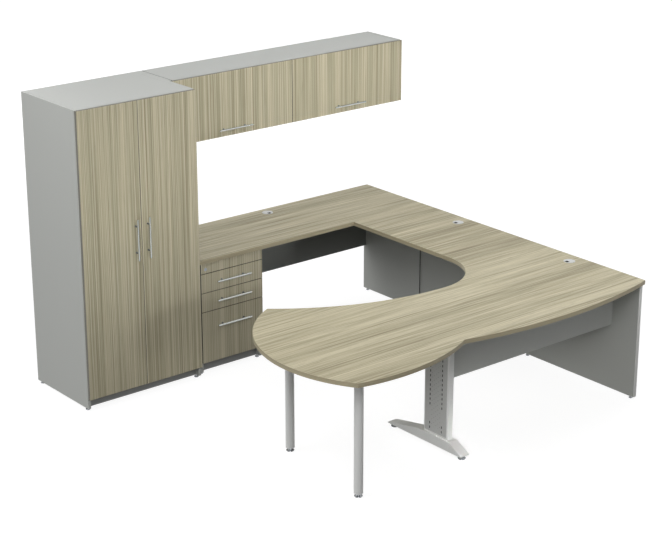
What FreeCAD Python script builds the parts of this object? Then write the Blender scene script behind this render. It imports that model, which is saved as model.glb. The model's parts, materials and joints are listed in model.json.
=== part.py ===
import FreeCAD, Part
import os
from types import SimpleNamespace

import Sketcher

# A U-shaped executive workstation: tall cabinet, wall-hung overhead cabinet, credenza with a drawer
# pedestal, bridge and bow-front desk with a round conference end. Millimetres, +Z up. Places are
# given in plan from the tall cabinet's back left floor corner: +X along the wall, -Y into the room.
# The finished pieces are shifted so that the origin is the middle of the floor box.

SIZES = (
    # Boards and gaps that the whole set shares
    ("overall_width", 2600, "tall cabinet's left side to the worktops' right edge"),
    ("panel", 18, "carcass board"),
    ("back_board", 8, "cabinet backs"),
    ("gable_board", 25, "full-height gables"),
    ("worktop_board", 25, "worktops"),
    ("door_board", 18, "doors, flaps and drawer fronts"),
    ("door_gap", 2, "shadow gap between a front and its carcass"),
    ("reveal", 2, "how far a front stays inside its carcass outline"),
    ("front_split", 3, "gap between neighbouring fronts"),
    ("run_gap", 0.3, "clearance of a sliding or swinging fitting"),
    ("turn_gap", 0.05, "radial clearance of the lock barrel"),
    ("glide_height", 15, "floor to the underside of the boards"),
    # Tall cabinet
    ("cabinet_width", 800, "tall cabinet"),
    ("cabinet_height", 1800, "tall cabinet, and top of the overhead cabinet"),
    ("cabinet_depth", 570, "tall cabinet carcass"),
    ("cabinet_plinth_height", 60, "plinth under the tall cabinet"),
    ("plinth_setback", 30, "plinth behind the carcass front"),
    ("shelf_count", 4, "shelves in the tall cabinet"),
    ("shelf_setback", 5, "shelf behind the back ends of the hinge arms"),
    ("seam_groove", 1.5, "fine groove where a top meets the cabinet side"),
    # Overhead cabinet
    ("overhead_height", 400, "overhead cabinet"),
    ("overhead_depth", 320, "overhead carcass"),
    ("overhead_groove", 5, "shadow groove where the overhead top meets its sides"),
    ("wall_plate", 4, "hanging plate thickness"),
    ("wall_plate_length", 120, "hanging plate along the wall"),
    ("wall_plate_height", 60, "hanging plate upright"),
    ("wall_plate_inset", 200, "hanging plate centre from the overhead cabinet's end"),
    ("wall_plate_drop", 70, "hanging plate centre below the overhead top"),
    ("wall_hole", 9, "hole for a wall screw"),
    ("wall_hole_spacing", 80, "wall screw spacing"),
    # Concealed hinges
    ("cup_bore", 35, "hinge cup bore in a door"),
    ("cup_bore_depth", 12, "depth of that bore"),
    ("cup_inset", 24, "bore centre from the door's edge"),
    ("cup_flange", 1, "flange on the door's back"),
    ("cup_flange_margin", 5, "flange beyond the bore"),
    ("arm_thickness", 14, "hinge arm off its board"),
    ("arm_width", 16, "hinge arm"),
    ("arm_length", 70, "hinge arm"),
    ("arm_plate", 3, "mounting plate under the arm"),
    ("arm_plate_width", 48, "mounting plate"),
    ("arm_plate_setback", 28, "mounting plate from the arm's front end"),
    ("arm_plate_length", 30, "mounting plate"),
    ("door_hinge_count", 4, "hinges on each tall door"),
    ("door_hinge_margin", 110, "first and last hinge from the door's ends"),
    ("flap_hinge_margin", 110, "flap hinges from the flap's ends"),
    # Bar handles
    ("handle_length", 250, "handle bar"),
    ("handle_bar", 11, "handle bar diameter"),
    ("handle_post", 8, "handle post diameter"),
    ("handle_spacing", 160, "handle post spacing"),
    ("handle_reach", 32, "front of the bar from the front's face"),
    ("door_handle_offset", 41, "tall door handle from the door split"),
    ("door_handle_height", 985, "middle of the tall door handle above the floor"),
    ("flap_handle_rise", 46, "flap handle above the flap's lower edge"),
    ("box_handle_drop", 57, "box drawer handle below the front's upper edge"),
    ("file_handle_drop", 95, "file drawer handle below the front's upper edge"),
    # Credenza and its drawer pedestal
    ("desk_height", 750, "top of every worktop"),
    ("credenza_depth", 580, "credenza worktop"),
    ("gable_setback", 10, "credenza gable behind the worktop's front edge"),
    ("modesty_board", 18, "modesty panels"),
    ("modesty_inset", 5, "credenza modesty panel from the wall line"),
    ("credenza_modesty_height", 398, "credenza modesty panel"),
    ("pedestal_offset", 20, "pedestal from the tall cabinet's side"),
    ("pedestal_width", 460, "pedestal"),
    ("pedestal_setback", 15, "drawer faces behind the worktop's front edge"),
    ("pedestal_plinth_height", 65, "plinth under the pedestal"),
    ("rail_top_gap", 6, "gap between the lock rail and the worktop"),
    ("rail_height", 62, "lock rail"),
    ("box_front_height", 119, "box drawer fronts"),
    ("lock_barrel", 16, "lock barrel diameter"),
    ("lock_flange", 20, "lock face diameter"),
    ("lock_flange_thickness", 1.5, "lock face"),
    ("lock_inset", 35, "lock from the pedestal's left side"),
    ("lock_drop", 36, "lock below the rail's upper edge"),
    ("lock_cam", 14, "lock cam reach"),
    ("lock_cam_width", 8, "lock cam"),
    ("lock_cam_thickness", 2, "lock cam"),
    ("keyway_width", 1.8, "key slot"),
    ("keyway_height", 9, "key slot"),
    ("keyway_depth", 6, "key slot"),
    ("tray_length", 450, "drawer tray behind its front"),
    ("tray_wall", 12, "drawer tray walls"),
    ("tray_floor", 6, "drawer tray floor"),
    ("tray_rise", 14, "box drawer tray above its front's lower edge"),
    ("file_tray_clearance", 6, "file drawer tray above the pedestal's floor"),
    ("box_tray_height", 84, "box drawer tray"),
    ("file_tray_height", 250, "file drawer tray"),
    ("runner_width", 13, "space for a runner on each side of a tray"),
    ("runner_height", 36, "runner channel"),
    ("runner_web", 3.5, "runner channel back"),
    ("runner_setback", 6, "runner behind the carcass front"),
    ("runner_length", 440, "runner channel"),
    ("rib_height", 8, "tray rib that slides in the runner"),
    # Bridge
    ("bridge_width", 600, "bridge worktop"),
    ("bridge_board", 16, "bridge end panel"),
    # Desk
    ("desk_front", 2480, "wall line to the desk's right front corner"),
    ("desk_end_depth", 1019, "desk's straight right end"),
    ("bow_rise", 95, "bow of the desk's front edge"),
    ("round_front_rise", 142, "front of the round end beyond the right corner"),
    ("round_front_radius", 1156, "front curve of the round end"),
    ("round_front_centre", 1971, "middle of that curve from the right edge"),
    ("round_corner_rise", 35, "left front corner behind the front curve's foremost point"),
    ("notch_rise", 129, "notch behind the same point"),
    ("round_reach", 2390, "right edge to the round end's leftmost point"),
    ("round_left_setback", 330, "leftmost point behind the right front corner"),
    ("tip_reach", 1966, "right edge to the round end's back tip"),
    ("tip_setback", 1016, "back tip behind the right front corner"),
    ("inner_radius", 371, "inner corner between bridge and desk"),
    ("desk_gable_length", 915, "desk gable"),
    ("desk_gable_setback", 18, "desk gable behind the right front corner"),
    ("desk_modesty_setback", 215, "desk modesty panel behind the right front corner"),
    ("desk_modesty_height", 306, "desk modesty panel"),
    # T-leg
    ("t_leg_reach", 1354, "right edge to the middle of the T-leg"),
    ("t_leg_setback", 270, "middle of the T-leg column behind the right front corner"),
    ("column_width", 40, "column across"),
    ("column_depth", 200, "column front to back"),
    ("column_wall", 2, "column sheet"),
    ("column_corner", 9, "column corner radius"),
    ("window_margin", 22, "column window from the column's edges"),
    ("cover_thickness", 1.5, "perforated cover"),
    ("cover_margin", 14, "cover from the column's edges"),
    ("cover_end_gap", 12, "cover from the column's ends"),
    ("slot_width", 8, "cover slots"),
    ("slot_height", 15, "cover slots"),
    ("slot_pitch", 28, "cover slots"),
    ("slot_row_spacing", 96, "rows of cover slots"),
    ("slot_top_margin", 32, "first slot below the cover's upper end"),
    ("slot_count", 16, "slots in the upper run of each row"),
    ("slot_bottom_margin", 14, "last slot above the cover's lower end"),
    ("slot_bottom_count", 2, "slots in the lower run of each row"),
    ("foot_width", 65, "T-foot"),
    ("foot_bottom", 20, "underside of the T-foot and post legs"),
    ("foot_rise", 58, "T-foot's flat above its underside"),
    ("foot_tip", 8, "T-foot tips"),
    ("foot_back", 386, "back tip from the column's middle"),
    ("foot_back_flat", 130, "flat behind the column's middle"),
    ("foot_front_flat", 122, "flat in front of the column's middle"),
    ("foot_front", 217, "front tip from the column's middle"),
    ("foot_wall", 3, "T-foot shell"),
    ("foot_back_solid", 110, "solid back end of the foot"),
    ("foot_front_solid", 60, "solid front end of the foot"),
    ("foot_glide_inset", 24, "foot glides from the tips"),
    # Post legs
    ("post_diameter", 50, "post legs"),
    ("post_wall", 2, "post leg tube"),
    ("post_floor", 3, "closed lower end of the tube"),
    ("post_flange", 100, "flange under the worktop"),
    ("post_flange_thickness", 5, "that flange"),
    ("back_post_reach", 2016, "back post leg from the right edge"),
    ("back_post_setback", 755, "back post leg behind the right front corner"),
    ("front_post_reach", 2085, "front post leg from the right edge"),
    ("front_post_setback", 87, "front post leg behind the right front corner"),
    # Glides
    ("glide_disc", 28, "glide disc diameter"),
    ("glide_disc_height", 6, "glide disc"),
    ("glide_stem", 12, "glide stem diameter"),
    ("glide_inset", 30, "glides from the boards' ends"),
    ("gable_glide_disc", 24, "glide disc under a gable"),
    ("bell_foot", 46, "bell glide at the floor"),
    ("bell_foot_height", 4, "bell glide rim"),
    ("bell_height", 13, "bell glide up to its neck"),
    ("bell_neck", 26, "bell glide neck"),
    # Grommets
    ("grommet_flange", 70, "grommet flange diameter"),
    ("grommet_flange_thickness", 2.5, "grommet flange"),
    ("grommet_liner", 60, "grommet liner diameter"),
    ("grommet_liner_length", 22, "grommet liner below the worktop's face"),
    ("grommet_bore", 54, "grommet bore"),
    ("cap_diameter", 62, "turning cap seat"),
    ("cap_thickness", 1.5, "turning cap"),
    ("cap_spigot", 4, "cap's guide below its seat"),
    ("cap_slot_width", 22, "cable slot in the cap"),
    ("cap_slot_start", 9, "cable slot from the cap's centre"),
    ("credenza_grommet_reach", 905, "credenza grommet from the right edge"),
    ("credenza_grommet_depth", 76, "credenza grommet from the wall line"),
    ("side_grommet_reach", 97, "bridge and desk grommets from the right edge"),
    ("bridge_grommet_depth", 1006, "bridge grommet from the wall line"),
    ("desk_grommet_setback", 509, "desk grommet behind the right front corner"),
    # Steel brackets
    ("bracket_leg", 40, "angle bracket legs"),
    ("bracket_sheet", 3, "angle brackets and joining plates"),
    ("bracket_width", 30, "angle brackets"),
    ("bracket_inset", 120, "angle brackets from a board's ends"),
    ("join_length", 120, "joining plates across a worktop joint"),
    ("join_width", 50, "joining plates along the joint"),
    ("join_inset", 150, "joining plates from the bridge's edges"),
)

DOC = FreeCAD.newDocument("workstation")


class Dim:
    """A length that carries its number and the sheet expression that gives it."""

    def __init__(self, value, text):
        self.value = value
        self.text = text

    def joined(self, other, sign, value):
        return Dim(value, f"({self.text} {sign} {other.text})")

    def __add__(self, other):
        other = dim(other)
        return self.joined(other, "+", self.value + other.value)

    def __sub__(self, other):
        other = dim(other)
        return self.joined(other, "-", self.value - other.value)

    def __mul__(self, other):
        other = dim(other)
        return self.joined(other, "*", self.value * other.value)

    def __truediv__(self, other):
        other = dim(other)
        return self.joined(other, "/", self.value / other.value)

    def __neg__(self):
        return dim(0) - self

    def root(self):
        return Dim(self.value ** 0.5, f"sqrt({self.text})")


def dim(number):
    return number if isinstance(number, Dim) else Dim(float(number), str(number))


def write_sheet():
    """Puts the driving dimensions in the document's sheet, and gives them back by name."""
    sheet = DOC.addObject("Spreadsheet::Sheet", "Sizes")
    for row, (name, value, note) in enumerate(SIZES, start=1):
        sheet.set(f"A{row}", name)
        sheet.set(f"B{row}", str(value))
        sheet.setAlias(f"B{row}", name)
        sheet.set(f"C{row}", note)
    DOC.recompute()
    return SimpleNamespace(**{name: Dim(sheet.get(name), f"Sizes.{name}") for name, value, note in SIZES})


size = write_sheet()
NODES = []
ZERO = dim(0)
AXES = {"X": FreeCAD.Vector(1, 0, 0), "Y": FreeCAD.Vector(0, 1, 0), "Z": FreeCAD.Vector(0, 0, 1)}

# Levels and lines that several pieces share
overall_depth = size.desk_front + size.round_front_rise
right_edge = size.overall_width
worktop_under = size.desk_height - size.worktop_board
cabinet_floor = size.glide_height + size.cabinet_plinth_height
cabinet_face = -(size.cabinet_depth + size.door_gap + size.door_board)
overhead_base = size.cabinet_height - size.overhead_height
overhead_face = -(size.overhead_depth + size.door_gap + size.door_board)
overhead_middle = (size.cabinet_width + right_edge) / 2
pedestal_left = size.cabinet_width + size.pedestal_offset
pedestal_right = pedestal_left + size.pedestal_width
pedestal_face = -(size.credenza_depth - size.pedestal_setback)
pedestal_front = pedestal_face + size.door_board + size.door_gap
pedestal_floor = size.glide_height + size.pedestal_plinth_height
rail_top = worktop_under - size.rail_top_gap
rail_base = rail_top - size.rail_height
gable_inner = right_edge - size.gable_board
credenza_gable_front = -(size.credenza_depth - size.gable_setback)
desk_gable_front = -(size.desk_front - size.desk_gable_setback)
desk_gable_back = desk_gable_front + size.desk_gable_length
bridge_inner = right_edge - size.bridge_width
desk_joint = -(size.desk_front - size.desk_end_depth)
t_leg_x = right_edge - size.t_leg_reach
t_leg_y = -(size.desk_front - size.t_leg_setback)
column_left = t_leg_x - size.column_width / 2
column_right = t_leg_x + size.column_width / 2
foot_top = size.foot_bottom + size.foot_rise


def node(piece):
    """Counts a finished object as one of the set's pieces."""
    NODES.append(piece)
    return piece


def place(piece, x, y, z):
    """Puts a piece at a point of the plan, shifted into the set's own frame."""
    spot = (dim(x) - size.overall_width / 2, dim(y) + overall_depth / 2, dim(z))
    for axis, value in zip("xyz", spot):
        piece.setExpression(f"Placement.Base.{axis}", value.text)


def spread(first, second):
    """Two limits in rising order."""
    first, second = dim(first), dim(second)
    return (first, second) if first.value <= second.value else (second, first)


def about(middle, width):
    return (dim(middle) - dim(width) / 2, dim(middle) + dim(width) / 2)


def box(name, x, y, z):
    """A square-edged board between two limits on each axis."""
    board = DOC.addObject("Part::Box", name)
    limits = [spread(*pair) for pair in (x, y, z)]
    for side, (low, high) in zip(("Length", "Width", "Height"), limits):
        board.setExpression(side, (high - low).text)
    place(board, *(low for low, high in limits))
    return board


def rod(name, diameter, start, length, axis="Z"):
    """A round bar from a point, along an axis."""
    bar = DOC.addObject("Part::Cylinder", name)
    turn = FreeCAD.Rotation(AXES["Z"], AXES[axis])
    bar.Placement = FreeCAD.Placement(FreeCAD.Vector(), turn)
    bar.setExpression("Radius", (dim(diameter) / 2).text)
    bar.setExpression("Height", dim(length).text)
    place(bar, *start)
    return bar


def cut(name, base, *tools):
    piece = DOC.addObject("Part::Cut", name)
    piece.Base = base
    piece.Tool = tools[0] if len(tools) == 1 else group(f"{name}_cutters", tools)
    return piece


def fuse(name, *solids):
    piece = DOC.addObject("Part::MultiFuse", name)
    piece.Shapes = list(solids)
    piece.Refine = True
    return piece


def group(name, solids):
    """Separate solids that share one node."""
    bundle = DOC.addObject("Part::Compound", name)
    bundle.Links = list(solids)
    return bundle


def pin(sketch, edge, end, point):
    """Ties one end of a sketch edge to a point, by expressions."""
    for kind, value in zip(("DistanceX", "DistanceY"), point):
        index = sketch.addConstraint(Sketcher.Constraint(kind, edge, end, value.value))
        sketch.setExpression(f"Constraints[{index}]", value.text)


def outline(body, name, role, corners):
    """A closed sketch on one of the body's planes. Each corner is a point, and a point that the arc to
    the next corner passes through, or None where that edge is straight."""
    sketch = body.newObject("Sketcher::SketchObject", name)
    plane = next(face for face in body.Origin.OriginFeatures if face.Role == role)
    sketch.AttachmentSupport = [(plane, "")]
    sketch.MapMode = "FlatFace"

    def spot(point):
        return FreeCAD.Vector(point[0].value, point[1].value, 0)

    ends = []
    for index, (start, via) in enumerate(corners):
        finish = corners[(index + 1) % len(corners)][0]
        if via is None:
            edge = sketch.addGeometry(Part.LineSegment(spot(start), spot(finish)))
        else:
            turn = (spot(via) - spot(start)).cross(spot(finish) - spot(start)).z
            first, last = (start, finish) if turn > 0 else (finish, start)
            edge = sketch.addGeometry(Part.Arc(spot(first), spot(via), spot(last)))
            mark = sketch.addGeometry(Part.Point(spot(via)), True)
            sketch.addConstraint(Sketcher.Constraint("PointOnObject", mark, 1, edge))
            pin(sketch, mark, 1, via)
        forward = sketch.Geometry[edge].StartPoint.isEqual(spot(start), 1e-4)
        ends.append((edge, 1 if forward else 2, 2 if forward else 1))
    for (edge, begin, end), (later, later_begin, later_end) in zip(ends, ends[1:] + ends[:1]):
        sketch.addConstraint(Sketcher.Constraint("Coincident", edge, end, later, later_begin))
    for (edge, begin, end), (start, via) in zip(ends, corners):
        pin(sketch, edge, begin, start)
    return sketch


def straight(corners):
    """Corners of an outline with no arcs."""
    return [(corner, None) for corner in corners]


def padded(name, role, corners, length):
    """A body whose outline is padded along its plane's normal."""
    body = DOC.addObject("PartDesign::Body", name)
    pad = body.newObject("PartDesign::Pad", f"{name}_pad")
    pad.Profile = outline(body, f"{name}_outline", role, corners)
    pad.setExpression("Length", length.text)
    return body


def grooved_top(name, span, depth, groove):
    """A top board between two sides, with a square groove along each end."""
    level = size.cabinet_height
    board = box(f"{name}_board", span, depth, (level - size.panel, level))
    ends = ((span[0], span[0] + groove), (span[1] - groove, span[1]))
    grooves = [
        box(f"{name}_groove_{index}", end, depth, (level - groove, level))
        for index, end in enumerate(ends)
    ]
    return cut(name, board, *grooves)


def arm_front(carcass_depth):
    """Front end of a hinge arm, just behind the cup flange on the closed door's back."""
    return -carcass_depth - size.door_gap + size.cup_flange + size.run_gap


def cabinet():
    """Tall cabinet carcass: the top and floor sit between the sides, over a set-back plinth."""
    inner = (size.panel, size.cabinet_width - size.panel)
    depth = (-size.cabinet_depth, ZERO)
    height = (size.glide_height, size.cabinet_height)
    node(box("cabinet_left_side", (ZERO, inner[0]), depth, height))
    node(box("cabinet_right_side", (inner[1], size.cabinet_width), depth, height))
    under_top = size.cabinet_height - size.panel
    node(grooved_top("cabinet_top", inner, depth, size.seam_groove))
    inside_floor = cabinet_floor + size.panel
    node(box("cabinet_bottom", inner, depth, (cabinet_floor, inside_floor)))
    node(box("cabinet_back", inner, (-size.back_board, ZERO), (inside_floor, under_top)))
    shelf_front = arm_front(size.cabinet_depth) + size.arm_length + size.shelf_setback
    shelf_depth = (shelf_front, -size.back_board)
    pitch = (under_top - inside_floor + size.panel) / (size.shelf_count + 1)
    shelves = []
    for index in range(1, round(size.shelf_count.value) + 1):
        base = inside_floor + pitch * index - size.panel
        shelves.append(box(f"cabinet_shelf_{index}", inner, shelf_depth, (base, base + size.panel)))
    node(group("cabinet_shelves", shelves))


def plinths():
    """Set-back boards under the tall cabinet and under the pedestal."""
    boards = []
    for name, left, right, front, top in (
        ("cabinet", ZERO, size.cabinet_width, -size.cabinet_depth, cabinet_floor),
        ("pedestal", pedestal_left, pedestal_right, pedestal_front, pedestal_floor),
    ):
        face = front + size.plinth_setback
        span = (left + size.panel, right - size.panel)
        boards.append(box(f"{name}_plinth", span, (face, face + size.panel), (size.glide_height, top)))
    node(group("plinths", boards))


def overhead_plate_centres():
    z = size.cabinet_height - size.wall_plate_drop
    return [(size.cabinet_width + size.wall_plate_inset, z), (right_edge - size.wall_plate_inset, z)]


def wall_holes(name):
    """Screw holes through the overhead back and its two hanging plates."""
    start = -(size.wall_plate + size.back_board)
    holes = []
    for index, (x, z) in enumerate(overhead_plate_centres()):
        for side, hole_x in zip("ab", about(x, size.wall_hole_spacing)):
            holes.append(rod(f"{name}_{index}{side}", size.wall_hole, (hole_x, start, z), -start, "Y"))
    return holes


def overhead():
    """Overhead cabinet carcass, its left side flat against the tall cabinet."""
    left, right = size.cabinet_width, right_edge
    inner = (left + size.panel, right - size.panel)
    depth = (-size.overhead_depth, ZERO)
    height = (overhead_base, size.cabinet_height)
    under_top = size.cabinet_height - size.panel
    inside_floor = overhead_base + size.panel
    node(box("overhead_left_side", (left, inner[0]), depth, height))
    node(box("overhead_right_side", (inner[1], right), depth, height))
    node(grooved_top("overhead_top", inner, depth, size.overhead_groove))
    node(box("overhead_bottom", inner, depth, (overhead_base, inside_floor)))
    back = (-(size.wall_plate + size.back_board), -size.wall_plate)
    board = box("overhead_back_board", inner, back, (inside_floor, under_top))
    node(cut("overhead_back", board, *wall_holes("overhead_back_hole")))
    divider_depth = (-size.overhead_depth, back[0])
    divider_span = about(overhead_middle, size.panel)
    node(box("overhead_divider", divider_span, divider_depth, (inside_floor, under_top)))


def handle(name, x, face, z, upright=False):
    """Bar handle: a bar on two posts that stand out from a front's face."""
    along = "Z" if upright else "X"
    bar_y = face - size.handle_reach + size.handle_bar / 2
    half = size.handle_length / 2
    start = (x, bar_y, z - half) if upright else (x - half, bar_y, z)
    solids = [rod(f"{name}_bar", size.handle_bar, start, size.handle_length, along)]
    for index, step in enumerate((-size.handle_spacing / 2, size.handle_spacing / 2)):
        foot = (x, bar_y, z + step) if upright else (x + step, bar_y, z)
        solids.append(rod(f"{name}_post_{index}", size.handle_post, foot, face - bar_y, "Y"))
    return node(fuse(name, *solids))


def cup(name, x, back, z):
    """Hinge cup in the door's bore, with a thin cover flange on the door's back face."""
    depth = size.cup_bore_depth - size.run_gap
    shell = rod(f"{name}_shell", size.cup_bore - size.run_gap * 2, (x, back - depth, z), depth, "Y")
    reach = size.cup_bore + size.cup_flange_margin * 2
    flange = box(f"{name}_flange", about(x, reach), (back, back + size.cup_flange), about(z, reach))
    return fuse(name, shell, flange)


def bored_front(name, x, face, z, bores):
    """A door or flap with hinge bores in its back, and the cups that sit in them."""
    back = face + size.door_board
    board = box(f"{name}_board", x, (face, back), z)
    cutters = []
    cups = []
    for index, (bore_x, bore_z) in enumerate(bores):
        start = (bore_x, back - size.cup_bore_depth, bore_z)
        cutters.append(rod(f"{name}_bore_{index}", size.cup_bore, start, size.cup_bore_depth, "Y"))
        cups.append(cup(f"{name}_cup_{index}", bore_x, back, bore_z))
    node(cut(name, board, *cutters))
    node(group(f"{name}_hinge_cups", cups))


def door_hinge_levels():
    low = cabinet_floor + size.door_hinge_margin
    high = size.cabinet_height - size.reveal - size.door_hinge_margin
    count = round(size.door_hinge_count.value)
    return [low + (high - low) / (size.door_hinge_count - 1) * index for index in range(count)]


def doors():
    """Two tall doors that cover the cabinet's front, each with an upright handle by the split."""
    middle = size.cabinet_width / 2
    height = (cabinet_floor, size.cabinet_height - size.reveal)
    right_end = size.cabinet_width - size.reveal
    for name, edge, inward in (("left_door", size.reveal, 1), ("right_door", right_end, -1)):
        free_edge = middle - size.front_split / 2 * inward
        bores = [(edge + size.cup_inset * inward, z) for z in door_hinge_levels()]
        bored_front(name, (edge, free_edge), cabinet_face, height, bores)
        handle_x = middle - size.door_handle_offset * inward
        handle(f"{name}_handle", handle_x, cabinet_face, size.door_handle_height, upright=True)


def flaps():
    """Two flip-up flaps on the overhead cabinet, hinged along their upper edges."""
    height = (overhead_base + size.reveal, size.cabinet_height - size.reveal)
    for name, left, right in flap_spans():
        bores = [(x, height[1] - size.cup_inset) for x in flap_hinge_places(left, right)]
        bored_front(name, (left, right), overhead_face, height, bores)
        handle(f"{name}_handle", (left + right) / 2, overhead_face, height[0] + size.flap_handle_rise)


def flap_spans():
    """The left and right end of each flap, either side of the overhead cabinet's middle."""
    half_split = size.front_split / 2
    return (
        ("left_flap", size.cabinet_width + size.reveal, overhead_middle - half_split),
        ("right_flap", overhead_middle + half_split, right_edge - size.reveal),
    )


def flap_hinge_places(left, right):
    return left + size.flap_hinge_margin, right - size.flap_hinge_margin


def hinge_arms():
    """Hinge arms on the cabinet sides and under the overhead top, each on its mounting plate. They end
    just short of the cups, which swing away with the doors."""
    arms = []
    front = arm_front(size.cabinet_depth)
    plate_front = front + size.arm_plate_setback
    for side, board, inward in (("left", size.panel, 1), ("right", size.cabinet_width - size.panel, -1)):
        for index, z in enumerate(door_hinge_levels()):
            name = f"{side}_door_arm_{index}"
            across = (board, board + size.arm_thickness * inward)
            arm = box(f"{name}_bar", across, (front, front + size.arm_length), about(z, size.arm_width))
            plate_across = (board, board + size.arm_plate * inward)
            plate_along = (plate_front, plate_front + size.arm_plate_length)
            plate = box(f"{name}_plate", plate_across, plate_along, about(z, size.arm_plate_width))
            arms.append(fuse(name, arm, plate))
    front = arm_front(size.overhead_depth)
    plate_front = front + size.arm_plate_setback
    top = size.cabinet_height - size.panel
    places = [x for name, left, right in flap_spans() for x in flap_hinge_places(left, right)]
    for index, x in enumerate(places):
        name = f"flap_arm_{index}"
        depth = (front, front + size.arm_length)
        arm = box(f"{name}_bar", about(x, size.arm_width), depth, (top - size.arm_thickness, top))
        plate_along = (plate_front, plate_front + size.arm_plate_length)
        plate = box(f"{name}_plate", about(x, size.arm_plate_width), plate_along, (top - size.arm_plate, top))
        arms.append(fuse(name, arm, plate))
    node(group("hinge_arms", arms))


def grommet_cutter(name, x, y):
    """The round hole that takes a grommet's liner."""
    return rod(name, size.grommet_liner + size.run_gap * 2, (x, y, worktop_under), size.worktop_board)


credenza_grommet = (right_edge - size.credenza_grommet_reach, -size.credenza_grommet_depth)
bridge_grommet = (right_edge - size.side_grommet_reach, -size.bridge_grommet_depth)
desk_grommet = (right_edge - size.side_grommet_reach, -(size.desk_front - size.desk_grommet_setback))


def credenza():
    """Credenza worktop on the pedestal and a gable, with a modesty panel between them."""
    top = (worktop_under, size.desk_height)
    board = box("credenza_top_board", (size.cabinet_width, right_edge), (-size.credenza_depth, ZERO), top)
    node(cut("credenza_top", board, grommet_cutter("credenza_top_hole", *credenza_grommet)))
    upright = (size.glide_height, worktop_under)
    node(box("credenza_gable", (gable_inner, right_edge), (credenza_gable_front, ZERO), upright))
    back = -size.modesty_inset
    hung = (worktop_under - size.credenza_modesty_height, worktop_under)
    node(box("credenza_modesty", (pedestal_right, gable_inner), (back - size.modesty_board, back), hung))


def pedestal():
    """Drawer pedestal carcass, with a fixed lock rail above the drawers."""
    back = -size.modesty_inset
    depth = (pedestal_front, back)
    height = (size.glide_height, worktop_under)
    inner = (pedestal_left + size.panel, pedestal_right - size.panel)
    node(box("pedestal_left_side", (pedestal_left, inner[0]), depth, height))
    node(box("pedestal_right_side", (inner[1], pedestal_right), depth, height))
    node(box("pedestal_bottom", inner, depth, (pedestal_floor, pedestal_floor + size.panel)))
    back_height = (pedestal_floor + size.panel, worktop_under)
    node(box("pedestal_back", inner, (back - size.back_board, back), back_height))
    rail_span = (pedestal_left + size.reveal, pedestal_right - size.reveal)
    rail_depth = (pedestal_face, pedestal_front)
    rail = box("pedestal_lock_rail_board", rail_span, rail_depth, (rail_base, rail_top))
    lock_x, lock_z = lock_centre()
    hole_size = size.lock_barrel + size.turn_gap * 2
    hole_start = (lock_x, pedestal_face, lock_z)
    hole = rod("pedestal_lock_hole", hole_size, hole_start, pedestal_front - pedestal_face, "Y")
    node(cut("pedestal_lock_rail", rail, hole))


def lock_centre():
    return pedestal_left + size.lock_inset, rail_top - size.lock_drop


def drawer_lock():
    """Cam lock: a round face with a key slot, its barrel through the rail and a cam behind it."""
    x, z = lock_centre()
    face = pedestal_face - size.lock_flange_thickness
    flange = rod("drawer_lock_flange", size.lock_flange, (x, face, z), size.lock_flange_thickness, "Y")
    cam_back = pedestal_front + size.lock_cam_thickness + size.run_gap
    barrel = rod("drawer_lock_barrel", size.lock_barrel, (x, pedestal_face, z), cam_back - pedestal_face, "Y")
    cam_depth = (cam_back - size.lock_cam_thickness, cam_back)
    cam = box("drawer_lock_cam", about(x, size.lock_cam_width), cam_depth, (z, z + size.lock_cam))
    slot_depth = (face, face + size.keyway_depth)
    slot = box("drawer_lock_keyway", about(x, size.keyway_width), slot_depth, about(z, size.keyway_height))
    node(cut("drawer_lock", fuse("drawer_lock_body", flange, barrel, cam), slot))


def drawer_layout():
    """Each drawer's name, its front's lower and upper edge, tray base and height, and handle drop."""
    top = rail_base - size.front_split
    top_low = top - size.box_front_height
    middle = top_low - size.front_split
    middle_low = middle - size.box_front_height
    file_top = middle_low - size.front_split
    file_base = pedestal_floor + size.panel + size.file_tray_clearance
    box_tray = (size.box_tray_height, size.box_handle_drop)
    file_tray = (size.file_tray_height, size.file_handle_drop)
    return (
        ("top_drawer", top_low, top, top_low + size.tray_rise, *box_tray),
        ("middle_drawer", middle_low, middle, middle_low + size.tray_rise, *box_tray),
        ("file_drawer", pedestal_floor + size.reveal, file_top, file_base, *file_tray),
    )


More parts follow.
